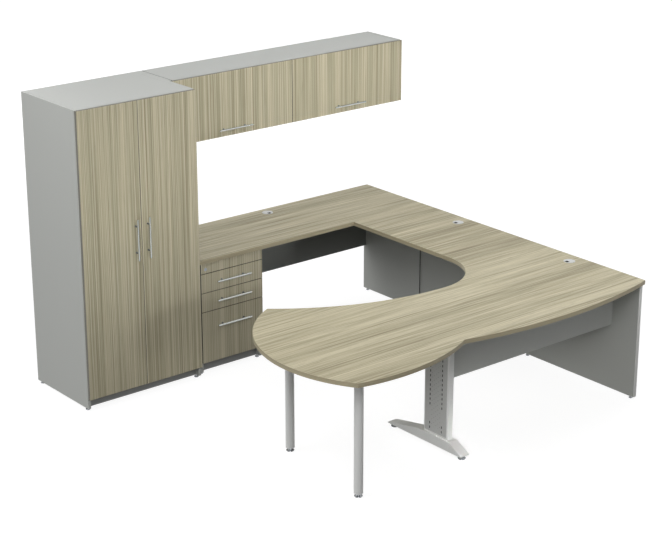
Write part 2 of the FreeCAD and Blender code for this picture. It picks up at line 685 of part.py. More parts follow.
def drawers():
    """Three drawers. Each tray has a rib on both sides, which slides in a runner channel."""
    tray_left = pedestal_left + size.panel + size.runner_width
    tray_right = pedestal_right - size.panel - size.runner_width
    tray_front = pedestal_face + size.door_board
    tray_back = tray_front + size.tray_length
    rib_depth = size.runner_width - size.runner_web - size.run_gap
    runner_start = pedestal_front + size.runner_setback
    runner_span = (runner_start, runner_start + size.runner_length)
    runners = []
    for name, low, high, base, tray_height, handle_drop in drawer_layout():
        front_span = (pedestal_left + size.reveal, pedestal_right - size.reveal)
        node(box(f"{name}_front", front_span, (pedestal_face, tray_front), (low, high)))
        tray_depth = (tray_front, tray_back)
        outer = box(f"{name}_tray", (tray_left, tray_right), tray_depth, (base, base + tray_height))
        wall = size.tray_wall
        hollow_span = (tray_left + wall, tray_right - wall)
        hollow_depth = (tray_front + wall, tray_back - wall)
        hollow_height = (base + size.tray_floor, base + tray_height)
        hollow = box(f"{name}_hollow", hollow_span, hollow_depth, hollow_height)
        rib_z = base + tray_height / 2
        ribs = []
        for side, edge, outward in (("left", tray_left, -1), ("right", tray_right, 1)):
            rib_span = (edge, edge + rib_depth * outward)
            ribs.append(box(f"{name}_{side}_rib", rib_span, tray_depth, about(rib_z, size.rib_height)))
            near = edge + size.run_gap * outward
            far = edge + size.runner_width * outward
            channel_height = about(rib_z, size.runner_height)
            channel = box(f"{name}_{side}_channel", (near, far), runner_span, channel_height)
            groove_span = (near, far - size.runner_web * outward)
            groove_height = about(rib_z, size.rib_height + size.run_gap * 2)
            groove = box(f"{name}_{side}_groove", groove_span, runner_span, groove_height)
            runners.append(cut(f"{name}_{side}_runner", channel, groove))
        node(fuse(f"{name}_box", cut(f"{name}_tray_shell", outer, hollow), *ribs))
        handle(f"{name}_handle", (pedestal_left + pedestal_right) / 2, pedestal_face, high - handle_drop)
    node(group("drawer_runners", runners))


def bridge():
    """Bridge worktop between credenza and desk, with an end panel between the two gables."""
    span = (bridge_inner, right_edge)
    top = (worktop_under, size.desk_height)
    board = box("bridge_top_board", span, (desk_joint, -size.credenza_depth), top)
    node(cut("bridge_top", board, grommet_cutter("bridge_top_hole", *bridge_grommet)))
    panel_span = (right_edge - size.bridge_board, right_edge)
    upright = (size.glide_height, worktop_under)
    node(box("bridge_panel", panel_span, (desk_gable_back, credenza_gable_front), upright))


def desk_outline():
    """Bow-front desk top with a round end: the corners, each with a point of the arc that follows it."""
    front = -overall_depth
    centre = right_edge - size.round_front_centre
    radius = size.round_front_radius

    def curve_half(rise):
        return (radius * rise * 2 - rise * rise).root()

    right_back = (right_edge, desk_joint)
    right_front = (right_edge, -size.desk_front)
    notch = (centre + curve_half(size.notch_rise), front + size.notch_rise)
    left_front = (centre - curve_half(size.round_corner_rise), front + size.round_corner_rise)
    left_mid = (right_edge - size.round_reach, -(size.desk_front - size.round_left_setback))
    tip = (right_edge - size.tip_reach, -(size.desk_front - size.tip_setback))
    bow_mid = ((right_edge + notch[0]) / 2, -(size.desk_front + size.bow_rise))
    hollow = (bridge_inner - size.inner_radius, desk_joint - size.inner_radius)
    inner_mid = (
        bridge_inner - size.inner_radius + size.inner_radius / dim(2).root(),
        desk_joint - size.inner_radius / dim(2).root(),
    )
    run = hollow[0] - tip[0]
    climb = tip[1] - hollow[1]
    sweep_radius = (run * run + climb * climb) / (climb * 2)
    sweep_drop = (sweep_radius * sweep_radius - run * run / 4).root()
    sweep_mid = (hollow[0] - run / 2, hollow[1] + sweep_radius - sweep_drop)
    return (
        (right_back, None),
        (right_front, bow_mid),
        (notch, (centre, front)),
        (left_front, left_mid),
        (tip, sweep_mid),
        (hollow, inner_mid),
        ((bridge_inner, desk_joint), None),
    )


def desk():
    """Desk top, its gable and the modesty panel between the T-leg and that gable."""
    slab = padded("desk_top_slab", "XY_Plane", desk_outline(), size.worktop_board)
    place(slab, ZERO, ZERO, worktop_under)
    node(cut("desk_top", slab, grommet_cutter("desk_top_hole", *desk_grommet)))
    upright = (size.glide_height, worktop_under)
    node(box("desk_gable", (gable_inner, right_edge), (desk_gable_front, desk_gable_back), upright))
    face = -(size.desk_front - size.desk_modesty_setback)
    hung = (worktop_under - size.desk_modesty_height, worktop_under)
    node(box("desk_modesty", (column_right, gable_inner), (face, face + size.modesty_board), hung))


def round_uprights(name, block, radius):
    """A block with its four upright edges rounded."""
    rounded = DOC.addObject("Part::Fillet", name)
    rounded.Base = block
    upright_edges = (1, 3, 5, 7)
    rounded.Edges = [(edge, radius.value, radius.value) for edge in upright_edges]
    return rounded


def t_leg_column():
    """Folded sheet column with rounded corners and a window behind its cover."""
    depth = about(t_leg_y, size.column_depth)
    height = (foot_top, worktop_under)
    outer = box("t_leg_column_block", (column_left, column_right), depth, height)
    rounded = round_uprights("t_leg_column_rounded", outer, size.column_corner)
    wall = size.column_wall
    inner_span = (column_left + wall, column_right - wall)
    inner = box("t_leg_column_core", inner_span, about(t_leg_y, size.column_depth - wall * 2), height)
    hollow = round_uprights("t_leg_column_hollow", inner, size.column_corner - wall)
    window_depth = about(t_leg_y, size.column_depth - size.window_margin * 2)
    window_height = (height[0] + size.window_margin, height[1] - size.window_margin)
    window = box("t_leg_column_window", (column_left, column_left + wall), window_depth, window_height)
    node(cut("t_leg_column", rounded, hollow, window))


def slot_run(body, name, row_y, first_z, count):
    """One run of upright slots through the cover, patterned at the slot pitch."""
    half_width = size.slot_width / 2
    corners = (
        (row_y - half_width, first_z),
        (row_y + half_width, first_z),
        (row_y + half_width, first_z + size.slot_height),
        (row_y - half_width, first_z + size.slot_height),
    )
    sketch = outline(body, f"{name}_outline", "YZ_Plane", straight(corners))
    pocket = body.newObject("PartDesign::Pocket", f"{name}_pocket")
    pocket.Profile = sketch
    pocket.Type = "ThroughAll"
    pocket.Reversed = True
    pattern = body.newObject("PartDesign::LinearPattern", f"{name}_pattern")
    pattern.Originals = [pocket]
    pattern.Direction = (sketch, ["V_Axis"])
    pattern.Mode = "Spacing"
    pattern.setExpression("Offset", size.slot_pitch.text)
    pattern.setExpression("Occurrences", count.text)
    body.Tip = pattern


def t_leg_cover():
    """Perforated cover that closes the column's window."""
    low = foot_top + size.cover_end_gap
    high = worktop_under - size.cover_end_gap
    near, far = about(ZERO, size.column_depth - size.cover_margin * 2)
    plate = ((near, low), (far, low), (far, high), (near, high))
    body = padded("t_leg_cover", "YZ_Plane", straight(plate), size.cover_thickness)
    place(body, column_left - size.cover_thickness, t_leg_y, ZERO)
    upper = high - size.slot_top_margin - size.slot_pitch * (size.slot_count - 1) - size.slot_height
    lower = low + size.slot_bottom_margin
    for name, row_y in zip(("front", "back"), about(ZERO, size.slot_row_spacing)):
        slot_run(body, f"{name}_upper_slots", row_y, upper, size.slot_count)
        slot_run(body, f"{name}_lower_slots", row_y, lower, size.slot_bottom_count)
    node(body)


def t_leg_foot():
    """Arched foot, hollow under its hump and solid over its two glides."""
    low, high = size.foot_bottom, foot_top
    tip = low + size.foot_tip
    profile = (
        (size.foot_back, low),
        (size.foot_back, tip),
        (size.foot_back_flat, high),
        (-size.foot_front_flat, high),
        (-size.foot_front, tip),
        (-size.foot_front, low),
    )
    block = padded("t_leg_foot_block", "YZ_Plane", straight(profile), size.foot_width)
    place(block, t_leg_x - size.foot_width / 2, t_leg_y, ZERO)
    ceiling = high - size.foot_wall
    hollow_profile = (
        (size.foot_back - size.foot_back_solid, low),
        (size.foot_back_flat, ceiling),
        (-size.foot_front_flat, ceiling),
        (-(size.foot_front - size.foot_front_solid), low),
    )
    inner_width = size.foot_width - size.foot_wall * 2
    hollow = padded("t_leg_foot_hollow", "YZ_Plane", straight(hollow_profile), inner_width)
    place(hollow, t_leg_x - inner_width / 2, t_leg_y, ZERO)
    node(cut("t_leg_foot", block, hollow))


def post_centres():
    return (
        (right_edge - size.back_post_reach, -(size.desk_front - size.back_post_setback)),
        (right_edge - size.front_post_reach, -(size.desk_front - size.front_post_setback)),
    )


def post_legs():
    """Two round tube legs, each closed below and welded to a flange under the worktop."""
    legs = []
    low = size.foot_bottom
    for index, (x, y) in enumerate(post_centres()):
        name = f"post_leg_{index}"
        tube = rod(f"{name}_tube", size.post_diameter, (x, y, low), worktop_under - low)
        flange_base = worktop_under - size.post_flange_thickness
        flange = rod(f"{name}_flange", size.post_flange, (x, y, flange_base), size.post_flange_thickness)
        bore_base = low + size.post_floor
        bore_size = size.post_diameter - size.post_wall * 2
        bore = rod(f"{name}_bore", bore_size, (x, y, bore_base), flange_base - bore_base)
        legs.append(cut(name, fuse(f"{name}_body", tube, flange), bore))
    node(group("post_legs", legs))


def plain_glide(name, x, y, disc_size):
    disc = rod(f"{name}_disc", disc_size, (x, y, ZERO), size.glide_disc_height)
    stem = rod(f"{name}_stem", size.glide_stem, (x, y, ZERO), size.glide_height)
    return fuse(name, disc, stem)


def bell_glide(name, x, y):
    """Bell-shaped levelling glide: a flat rim, a flared bell and a neck."""
    rim = rod(f"{name}_rim", size.bell_foot, (x, y, ZERO), size.bell_foot_height)
    bell = DOC.addObject("Part::Cone", f"{name}_bell")
    bell.setExpression("Radius1", (size.bell_foot / 2).text)
    bell.setExpression("Radius2", (size.bell_neck / 2).text)
    bell.setExpression("Height", (size.bell_height - size.bell_foot_height).text)
    place(bell, x, y, size.bell_foot_height)
    neck = rod(f"{name}_neck", size.bell_neck, (x, y, size.bell_height), size.foot_bottom - size.bell_height)
    return fuse(name, rim, bell, neck)


def levelling_glides():
    """Every levelling glide: plain ones under boards, bell-shaped ones under the metal legs."""
    inset = size.glide_inset
    edge = size.panel / 2 + size.glide_stem / 2
    glides = []
    for name, left, right, front, back in (
        ("cabinet", ZERO, size.cabinet_width, -size.cabinet_depth, ZERO),
        ("pedestal", pedestal_left, pedestal_right, pedestal_front, -size.modesty_inset),
    ):
        spots = [(x, y) for x in (left + edge, right - edge) for y in (front + inset, back - inset)]
        for index, (x, y) in enumerate(spots):
            glides.append(plain_glide(f"{name}_glide_{index}", x, y, size.glide_disc))
    gable_x = right_edge - size.gable_board / 2
    for name, front, back in (
        ("credenza_gable", credenza_gable_front, ZERO),
        ("desk_gable", desk_gable_front, desk_gable_back),
    ):
        for index, y in enumerate((front + inset, back - inset)):
            glides.append(plain_glide(f"{name}_glide_{index}", gable_x, y, size.gable_glide_disc))
    back_tip = t_leg_y + size.foot_back - size.foot_glide_inset
    front_tip = t_leg_y - size.foot_front + size.foot_glide_inset
    spots = list(post_centres()) + [(t_leg_x, back_tip), (t_leg_x, front_tip)]
    for index, (x, y) in enumerate(spots):
        glides.append(bell_glide(f"bell_glide_{index}", x, y))
    node(group("levelling_glides", glides))


def grommets():
    """Cable grommets: a flanged liner in each worktop, and a cap that turns in it. The cap's cable slot
    opens along X or Y, towards the seat."""
    face = size.desk_height
    flange_top = face + size.grommet_flange_thickness
    seat = flange_top - size.cap_thickness
    rings = []
    for name, (x, y), way in (
        ("credenza", credenza_grommet, "Y"),
        ("bridge", bridge_grommet, "X"),
        ("desk", desk_grommet, "X"),
    ):
        base = face - size.grommet_liner_length
        rim = size.grommet_flange_thickness
        flange = rod(f"{name}_grommet_flange", size.grommet_flange, (x, y, face), rim)
        liner = rod(f"{name}_grommet_liner", size.grommet_liner, (x, y, base), size.grommet_liner_length)
        bore = rod(f"{name}_grommet_bore", size.grommet_bore, (x, y, base), flange_top - base)
        recess = rod(f"{name}_grommet_recess", size.cap_diameter, (x, y, seat), size.cap_thickness)
        body = cut(f"{name}_grommet_liner_bored", fuse(f"{name}_grommet_body", flange, liner), bore)
        rings.append(cut(f"{name}_grommet_ring", body, recess))
        disc_size = size.cap_diameter - size.run_gap * 2
        disc = rod(f"{name}_cap_disc", disc_size, (x, y, seat), size.cap_thickness)
        spigot_size = size.grommet_bore - size.run_gap * 2
        spigot = rod(f"{name}_cap_spigot", spigot_size, (x, y, seat - size.cap_spigot), size.cap_spigot)
        slot_height = (seat - size.cap_spigot, flange_top)
        middle = x if way == "X" else y
        cap_slot_run = (middle - size.cap_diameter / 2, middle - size.cap_slot_start)
        slot_across = about(y if way == "X" else x, size.cap_slot_width)
        slot_plan = (cap_slot_run, slot_across) if way == "X" else (slot_across, cap_slot_run)
        slot = box(f"{name}_cap_slot", *slot_plan, slot_height)
        node(cut(f"{name}_grommet_cap", fuse(f"{name}_cap_body", disc, spigot), slot))
    node(group("grommet_rings", rings))


def angle_bracket(name, corner, along, reach):
    """An angle under a worktop: one leg up a board's face, the other under the worktop. `along` is the
    axis that the bracket's width follows, and `reach` is the way that it leaves the board."""
    x, y = corner
    leg = size.bracket_leg * reach
    sheet = size.bracket_sheet * reach
    drop = (worktop_under - size.bracket_leg, worktop_under)
    flat = (worktop_under - size.bracket_sheet, worktop_under)
    if along == "Y":
        width = about(y, size.bracket_width)
        upright = box(f"{name}_upright", (x, x + sheet), width, drop)
        shelf = box(f"{name}_shelf", (x, x + leg), width, flat)
    else:
        width = about(x, size.bracket_width)
        upright = box(f"{name}_upright", width, (y, y + sheet), drop)
        shelf = box(f"{name}_shelf", width, (y, y + leg), flat)
    return fuse(name, upright, shelf)


def steel_brackets():
    """Angles between boards and worktops, plates across the worktop joints, and wall hanging plates."""
    inset = size.bracket_inset
    pieces = []
    panel_face = right_edge - size.bridge_board
    for name, face, front, back in (
        ("credenza_gable", gable_inner, credenza_gable_front, ZERO),
        ("bridge_panel", panel_face, desk_gable_back, credenza_gable_front),
        ("desk_gable", gable_inner, desk_gable_front, desk_gable_back),
    ):
        for index, y in enumerate((front + inset, back - inset)):
            pieces.append(angle_bracket(f"{name}_angle_{index}", (face, y), "Y", -1))
    desk_modesty_back = -(size.desk_front - size.desk_modesty_setback) + size.modesty_board
    credenza_modesty_face = -(size.modesty_inset + size.modesty_board)
    for name, face, reach, left in (
        ("desk_modesty", desk_modesty_back, 1, column_right),
        ("credenza_modesty", credenza_modesty_face, -1, pedestal_right),
    ):
        for index, x in enumerate((left + inset, gable_inner - inset)):
            pieces.append(angle_bracket(f"{name}_angle_{index}", (x, face), "X", reach))
    under = (worktop_under - size.bracket_sheet, worktop_under)
    for name, joint in (("credenza", -size.credenza_depth), ("desk", desk_joint)):
        for index, x in enumerate((bridge_inner + size.join_inset, right_edge - size.join_inset)):
            plate = (about(x, size.join_width), about(joint, size.join_length), under)
            pieces.append(box(f"{name}_joint_plate_{index}", *plate))
    holes = wall_holes("wall_plate_hole")
    plate_depth = (-size.wall_plate, ZERO)
    for index, (x, z) in enumerate(overhead_plate_centres()):
        span = about(x, size.wall_plate_length)
        plate = box(f"wall_plate_{index}_blank", span, plate_depth, about(z, size.wall_plate_height))
        pieces.append(cut(f"wall_plate_{index}", plate, *holes[index * 2:index * 2 + 2]))
    node(group("steel_brackets", pieces))


def export():
    """Checks every object and every piece, then writes each piece to its own file."""
    DOC.recompute()
    for item in DOC.Objects:
        if {"Invalid", "Error"} & set(item.State):
            raise RuntimeError(f"{item.Name} failed: {item.State}")
    os.makedirs("parts", exist_ok=True)
    for piece in NODES:
        shape = piece.Shape
        if shape.isNull() or not shape.isValid() or not shape.Solids:
            raise RuntimeError(f"{piece.Label} has no valid solid")
        shape.exportStep(os.path.join("parts", f"{piece.Label}.step"))
    whole = Part.makeCompound([piece.Shape for piece in NODES]).BoundBox
    print(f"{len(NODES)} pieces, {whole.XLength:.1f} x {whole.YLength:.1f} x {whole.ZLength:.1f} mm")
    print(f"lowest corner {whole.XMin:.2f}, {whole.YMin:.2f}, {whole.ZMin:.2f}")


cabinet()
plinths()
overhead()
doors()
flaps()
hinge_arms()
credenza()
pedestal()
drawer_lock()
drawers()
bridge()
desk()
t_leg_column()
t_leg_cover()
t_leg_foot()
post_legs()
levelling_glides()
grommets()
steel_brackets()
export()
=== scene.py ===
# %% [markdown]
# # An executive workstation
# The set is a bow-front desk, a bridge, a credenza with a drawer pedestal, an overhead cabinet and a
# tall cabinet. Its solids come in as a fixed frame, already in metres and in place. Everything below is
# built around that frame, so nothing has to be fitted by eye, and each new piece rides on the body that
# carries it.

# %% Load the frame
import json
import math

import bmesh
import bpy
from mathutils import Matrix, Vector

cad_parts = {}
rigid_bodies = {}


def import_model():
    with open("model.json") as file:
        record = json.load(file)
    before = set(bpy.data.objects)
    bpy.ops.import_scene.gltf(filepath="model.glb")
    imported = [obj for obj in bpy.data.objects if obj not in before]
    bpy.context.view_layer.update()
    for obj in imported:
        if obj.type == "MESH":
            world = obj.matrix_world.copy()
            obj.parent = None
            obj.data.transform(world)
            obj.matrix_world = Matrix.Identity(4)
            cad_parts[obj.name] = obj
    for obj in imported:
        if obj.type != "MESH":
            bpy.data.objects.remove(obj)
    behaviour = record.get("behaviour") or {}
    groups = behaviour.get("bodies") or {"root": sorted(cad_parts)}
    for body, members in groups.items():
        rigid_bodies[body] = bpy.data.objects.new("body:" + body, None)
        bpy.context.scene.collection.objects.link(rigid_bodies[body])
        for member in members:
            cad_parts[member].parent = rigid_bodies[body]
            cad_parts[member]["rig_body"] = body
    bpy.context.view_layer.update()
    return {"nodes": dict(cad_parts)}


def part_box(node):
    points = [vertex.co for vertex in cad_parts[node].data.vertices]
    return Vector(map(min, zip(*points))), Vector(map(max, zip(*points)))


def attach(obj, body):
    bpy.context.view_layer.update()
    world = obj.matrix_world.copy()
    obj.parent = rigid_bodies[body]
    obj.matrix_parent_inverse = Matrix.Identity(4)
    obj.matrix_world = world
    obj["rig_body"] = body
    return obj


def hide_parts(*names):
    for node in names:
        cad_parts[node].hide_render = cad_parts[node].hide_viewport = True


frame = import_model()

scene = bpy.context.scene
X, Y, Z = Vector((1, 0, 0)), Vector((0, 1, 0)), Vector((0, 0, 1))
AXES = {"X": X, "Y": Y, "Z": Z}
MM = 0.001

# %% [markdown]
# ## Camera
# A product picture of a room set is taken with a long lens from well away, so that the boards stay nearly
# parallel. The camera stands back from the point that it aims at, along an azimuth and an elevation. That
# is easier to read and correct than three rotation angles.

# %% Camera
AIM = Vector((0.3133, 0.4403, 0.6))
AZIMUTH = math.radians(-39.395)
ELEVATION = math.radians(19.481)
DISTANCE = 10.911
LENS = 95.52
SENSOR = 36

away = Vector((
    math.sin(AZIMUTH) * math.cos(ELEVATION),
    -math.cos(AZIMUTH) * math.cos(ELEVATION),
    math.sin(ELEVATION),
))
lens = bpy.data.cameras.new("room_set_camera")
lens.sensor_width = SENSOR
lens.lens = LENS
camera = bpy.data.objects.new("room_set_camera", lens)
scene.collection.objects.link(camera)
camera.location = AIM + away * DISTANCE
camera.rotation_euler = (-away).to_track_quat("-Z", "Y").to_euler()
scene.camera = camera
print("camera at", [round(x, 2) for x in camera.location])

# %% [markdown]
# ## Node helpers
# Finishes and repeated fittings are node trees. Adding a node, setting its values and linking it takes
# many lines each time, so one helper does all three, for shader trees and geometry trees: a value that is
# a socket is linked, and any other value is typed in. The others are short forms of it.

# %% Node helpers
def add(tree, kind, values=None, **settings):
    node = tree.nodes.new(kind)
    for name, value in settings.items():
        setattr(node, name, value)
    for key, value in (values or {}).items():
        if isinstance(value, bpy.types.NodeSocket):
            tree.links.new(value, node.inputs[key])
        else:
            node.inputs[key].default_value = value
    return node


def calc(tree, operation, *terms):
    return add(tree, "ShaderNodeMath", dict(enumerate(terms)), operation=operation).outputs[0]


def times(tree, first, second):
    return calc(tree, "MULTIPLY", first, second)


def vector(tree, operation, *terms):
    return add(tree, "ShaderNodeVectorMath", dict(enumerate(terms)), operation=operation).outputs


def join(tree, x=0.0, y=0.0, z=0.0):
    return add(tree, "ShaderNodeCombineXYZ", {"X": x, "Y": y, "Z": z}).outputs[0]


def split(tree, vector):
    return add(tree, "ShaderNodeSeparateXYZ", {"Vector": vector}).outputs


def blend(tree, factor, first, second, kind="MIX"):
    ends = {0: factor, 6: first, 7: second}
    return add(tree, "ShaderNodeMix", ends, data_type="RGBA", blend_type=kind).outputs[2]


def ramp(tree, value, low, high, start=0.0, end=1.0):
    ends = {"From Min": low, "From Max": high, "To Min": start, "To Max": end}
    return add(tree, "ShaderNodeMapRange", {"Value": value, **ends}).outputs[0]


def noise(tree, place, scale, detail=2.0):
    return add(tree, "ShaderNodeTexNoise", {"Vector": place, "Scale": scale, "Detail": detail}).outputs[0]


def new_tree(name, kind, inputs, outputs):
    """An empty node group with named sockets, and the sockets that its inside starts from."""
    tree = bpy.data.node_groups.new(name, kind)
    for label, socket_kind, value in inputs:
        socket = tree.interface.new_socket(label, in_out="INPUT", socket_type=f"NodeSocket{socket_kind}")
        if value is not None:
            socket.default_value = value
    for label, socket_kind in outputs:
        tree.interface.new_socket(label, in_out="OUTPUT", socket_type=f"NodeSocket{socket_kind}")
    return tree, add(tree, "NodeGroupInput").outputs


def tone(red, green, blue):
    """A screen colour, 0 to 255, as the linear colour that nodes use."""
    def linear(level):
        level /= 255
        return level / 12.92 if level <= 0.04045 else ((level + 0.055) / 1.055) ** 2.4
    return (linear(red), linear(green), linear(blue), 1.0)


print("colour test:", [round(x, 3) for x in tone(186, 188, 184)])

# %% [markdown]
# ## Straight wood grain
# The fronts and worktops are covered with a printed oak laminate. Its grain is dead straight: faint bands,
# streaks inside them, many fine lines and short dark pores. An image would need a file, so the grain
# is four stretched noises. They read a vector that each board carries on its faces: distance along the
# grain, distance across it, and the number of the sheet that the board was cut from, so that two sheets
# never show the same piece of wood. A slow wander bends the lines by a millimetre or two, so that they
# aren't ruled. On the fronts the lines run the whole height, and on the worktops they break off sooner and
# the bands are stronger, so both are inputs too.

# %% Straight wood grain
WANDER = 0.008
BODY_START, BAND_PULL, STREAK_SHARE, LINE_SHARE = 0.11, -0.5, 0.26, 0.52
DARK_UP_TO, MIDDLE_AT, LIGHT_FROM = 0.12, 0.5, 0.88
LINE_RELIEF = 0.4


def straight_grain():
    tree, source = new_tree("straight_grain", "ShaderNodeTree", (
        ("Light", "Color", tone(198, 190, 158)),
        ("Middle", "Color", tone(178, 170, 141)),
        ("Dark", "Color", tone(146, 138, 111)),
        ("Pores", "Float", 0.5),
        ("Fineness", "Float", 1.0),
        ("Breaks", "Float", 1.0),
        ("Bands", "Float", 0.22),
    ), (("Color", "Color"), ("Height", "Float")))
    grain = add(tree, "ShaderNodeAttribute", attribute_name="grain").outputs["Vector"]
    along, across, board = split(tree, grain)

    def stretched(run, width, seed, detail=2.0, middle=across):
        x = times(tree, times(tree, along, run), source["Breaks"])
        y = times(tree, middle, width)
        z = times(tree, board, seed)
        return noise(tree, join(tree, x, y, z), 1.0, detail)

    sway = stretched(run=0.9, width=2.5, seed=3.1)
    wander = times(tree, calc(tree, "SUBTRACT", sway, 0.5), WANDER)
    bent = times(tree, calc(tree, "ADD", across, wander), source["Fineness"])
    band = ramp(tree, stretched(run=0.12, width=16, seed=5.7, middle=bent), low=0.3, high=0.7)
    streak = ramp(tree, stretched(run=0.2, width=80, seed=2.3, middle=bent), low=0.32, high=0.68)
    line = ramp(tree, stretched(run=0.7, width=270, seed=4.1, middle=bent), low=0.34, high=0.66)
    pore = ramp(tree, stretched(run=6, width=560, seed=1.9, detail=1.0, middle=bent), low=0.6, high=0.76)
    body = calc(tree, "MULTIPLY_ADD", source["Bands"], BAND_PULL, BODY_START)
    for part, weight in ((band, source["Bands"]), (streak, STREAK_SHARE), (line, LINE_SHARE)):
        body = calc(tree, "MULTIPLY_ADD", part, weight, body)
    color = blend(tree, ramp(tree, body, DARK_UP_TO, MIDDLE_AT), source["Dark"], source["Middle"])
    color = blend(tree, ramp(tree, body, MIDDLE_AT, LIGHT_FROM), color, source["Light"])
    color = blend(tree, times(tree, pore, source["Pores"]), color, source["Dark"])
    height = calc(tree, "SUBTRACT", times(tree, line, LINE_RELIEF), pore)
    add(tree, "NodeGroupOutput", {"Color": color, "Height": height})
    return tree


GRAIN = straight_grain()
print("grain group:", len(GRAIN.nodes), "nodes")

# %% [markdown]
# ## Fine mottle and worn edges
# No factory finish is one flat colour. Melamine is cast against a textured plate, powder coat has a faint
# orange peel and satin metal is scratched by its brush. One group gives all of them a mottled colour, a
# roughness that changes with it and a height for a bump, each material at its own scale. A second group
# wears the eased edges, where hands and shoes rub: it reads a mark that the boards carry on those faces.

# %% Fine mottle and worn edges
BROAD_SCALE, PATCH_SCALE = 3.0, 25.0
FINE_SHARE, BROAD_SHARE = 0.6, 0.4


def fine_mottle():
    tree, source = new_tree("fine_mottle", "ShaderNodeTree", (
        ("Color", "Color", tone(186, 188, 184)),
        ("Scale", "Float", 900.0),
        ("Amount", "Float", 0.05),
        ("Smooth", "Float", 0.4),
        ("Rough", "Float", 0.5),
    ), (("Color", "Color"), ("Roughness", "Float"), ("Height", "Float")))
    place = add(tree, "ShaderNodeTexCoord").outputs["Object"]
    fine = noise(tree, place, source["Scale"])
    broad = times(tree, noise(tree, place, BROAD_SCALE, detail=3.0), BROAD_SHARE)
    both = calc(tree, "ADD", times(tree, fine, FINE_SHARE), broad)
    swing = times(tree, calc(tree, "SUBTRACT", both, 0.5), source["Amount"])
    level = calc(tree, "ADD", 1.0, times(tree, swing, 2.0))
    color = blend(tree, 1.0, source["Color"], join(tree, level, level, level), "MULTIPLY")
    rough = ramp(tree, both, low=0.3, high=0.7, start=source["Smooth"], end=source["Rough"])
    add(tree, "NodeGroupOutput", {"Color": color, "Roughness": rough, "Height": fine})
    return tree


def edge_wear():
    tree, source = new_tree("edge_wear", "ShaderNodeTree", (
        ("Color", "Color", tone(186, 188, 184)),
        ("Worn", "Color", tone(220, 220, 216)),
        ("Strength", "Float", 0.4),
    ), (("Color", "Color"),))
    place = add(tree, "ShaderNodeTexCoord").outputs["Object"]
    eased = add(tree, "ShaderNodeAttribute", attribute_name="eased").outputs["Fac"]
    patchy = ramp(tree, noise(tree, place, PATCH_SCALE, detail=4.0), low=0.42, high=0.62)
    mask = times(tree, times(tree, patchy, eased), source["Strength"])
    add(tree, "NodeGroupOutput", {"Color": blend(tree, mask, source["Color"], source["Worn"])})
    return tree


MOTTLE = fine_mottle()
WEAR = edge_wear()
print("shared groups:", MOTTLE.name, WEAR.name)

# %% [markdown]
# ## Finishes
# Each finish is a Principled shader with one or two of the shared groups in front of it. What is the same
# all over a surface, such as the metalness of nickel or the gloss level of melamine, is typed on the
# shader itself. The laminate keeps its grain on the faces, and its edge band is the plainer, darker
# plastic strip that is glued round a board.

# %% Finishes
MOTTLE_DEPTH, GRAIN_DEPTH = 0.1 * MM, 0.2 * MM


def use(tree, group, **values):
    return add(tree, "ShaderNodeGroup", values, node_tree=group).outputs


def new_finish(name, **shader_values):
    material = bpy.data.materials.new(name)
    material.use_nodes = True
    tree = material.node_tree
    shader = tree.nodes["Principled BSDF"]
    for label, value in shader_values.items():
        shader.inputs[label.replace("_", " ")].default_value = value
    return material, tree, shader


def raise_bump(tree, shader, height, depth):
    bump = add(tree, "ShaderNodeBump", {"Height": height, "Strength": 0.5, "Distance": depth})
    tree.links.new(bump.outputs[0], shader.inputs["Normal"])


def mottled(name, color, scale, amount, smooth, rough, worn=None, **shader_values):
    material, tree, shader = new_finish(name, **shader_values)
    skin = use(tree, MOTTLE, Color=tone(*color), Scale=scale, Amount=amount, Smooth=smooth, Rough=rough)
    shown = use(tree, WEAR, Color=skin["Color"], Worn=tone(*worn))["Color"] if worn else skin["Color"]
    tree.links.new(shown, shader.inputs["Base Color"])
    tree.links.new(skin["Roughness"], shader.inputs["Roughness"])
    raise_bump(tree, shader, skin["Height"], MOTTLE_DEPTH)
    return material


def grained(name, light, middle, dark, pores=0.45, fineness=1.0, breaks=1.0, bands=0.22):
    material, tree, shader = new_finish(name, Specular_IOR_Level=0.25)
    wood = use(tree, GRAIN, Light=tone(*light), Middle=tone(*middle), Dark=tone(*dark), Pores=pores,
               Fineness=fineness, Breaks=breaks, Bands=bands)
    skin = use(tree, MOTTLE, Color=wood["Color"], Scale=500.0, Amount=0.04, Smooth=0.4, Rough=0.52)
    shown = use(tree, WEAR, Color=skin["Color"], Worn=tone(*light), Strength=0.3)
    tree.links.new(shown["Color"], shader.inputs["Base Color"])
    tree.links.new(skin["Roughness"], shader.inputs["Roughness"])
    raise_bump(tree, shader, wood["Height"], GRAIN_DEPTH)
    return material


OAK = grained("oak_laminate", (213, 206, 181), (181, 174, 148), (129, 121, 97), pores=0.5)
OAK_TOP = grained("oak_worktop", (206, 198, 171), (179, 171, 143), (137, 128, 102),
                  fineness=0.5, breaks=2.6, bands=0.42)
OAK_DRAWER = grained("oak_drawer_front", (202, 195, 171), (178, 171, 147), (142, 135, 112),
                     pores=0.35, fineness=1.2)
OAK_BAND = grained("oak_edge_band", (176, 167, 140), (166, 157, 131), (149, 140, 115), pores=0.25)
FRONT_BAND = grained("front_edge_band", (130, 127, 117), (121, 118, 109), (107, 104, 95), pores=0.25)
# Painted shade: a near-black edge strip that stands in for the shadow in the gaps between fronts.
GAP_SHADE_BAND = grained("gap_painted_shade", (62, 59, 52), (56, 53, 46), (46, 43, 37), pores=0.25)
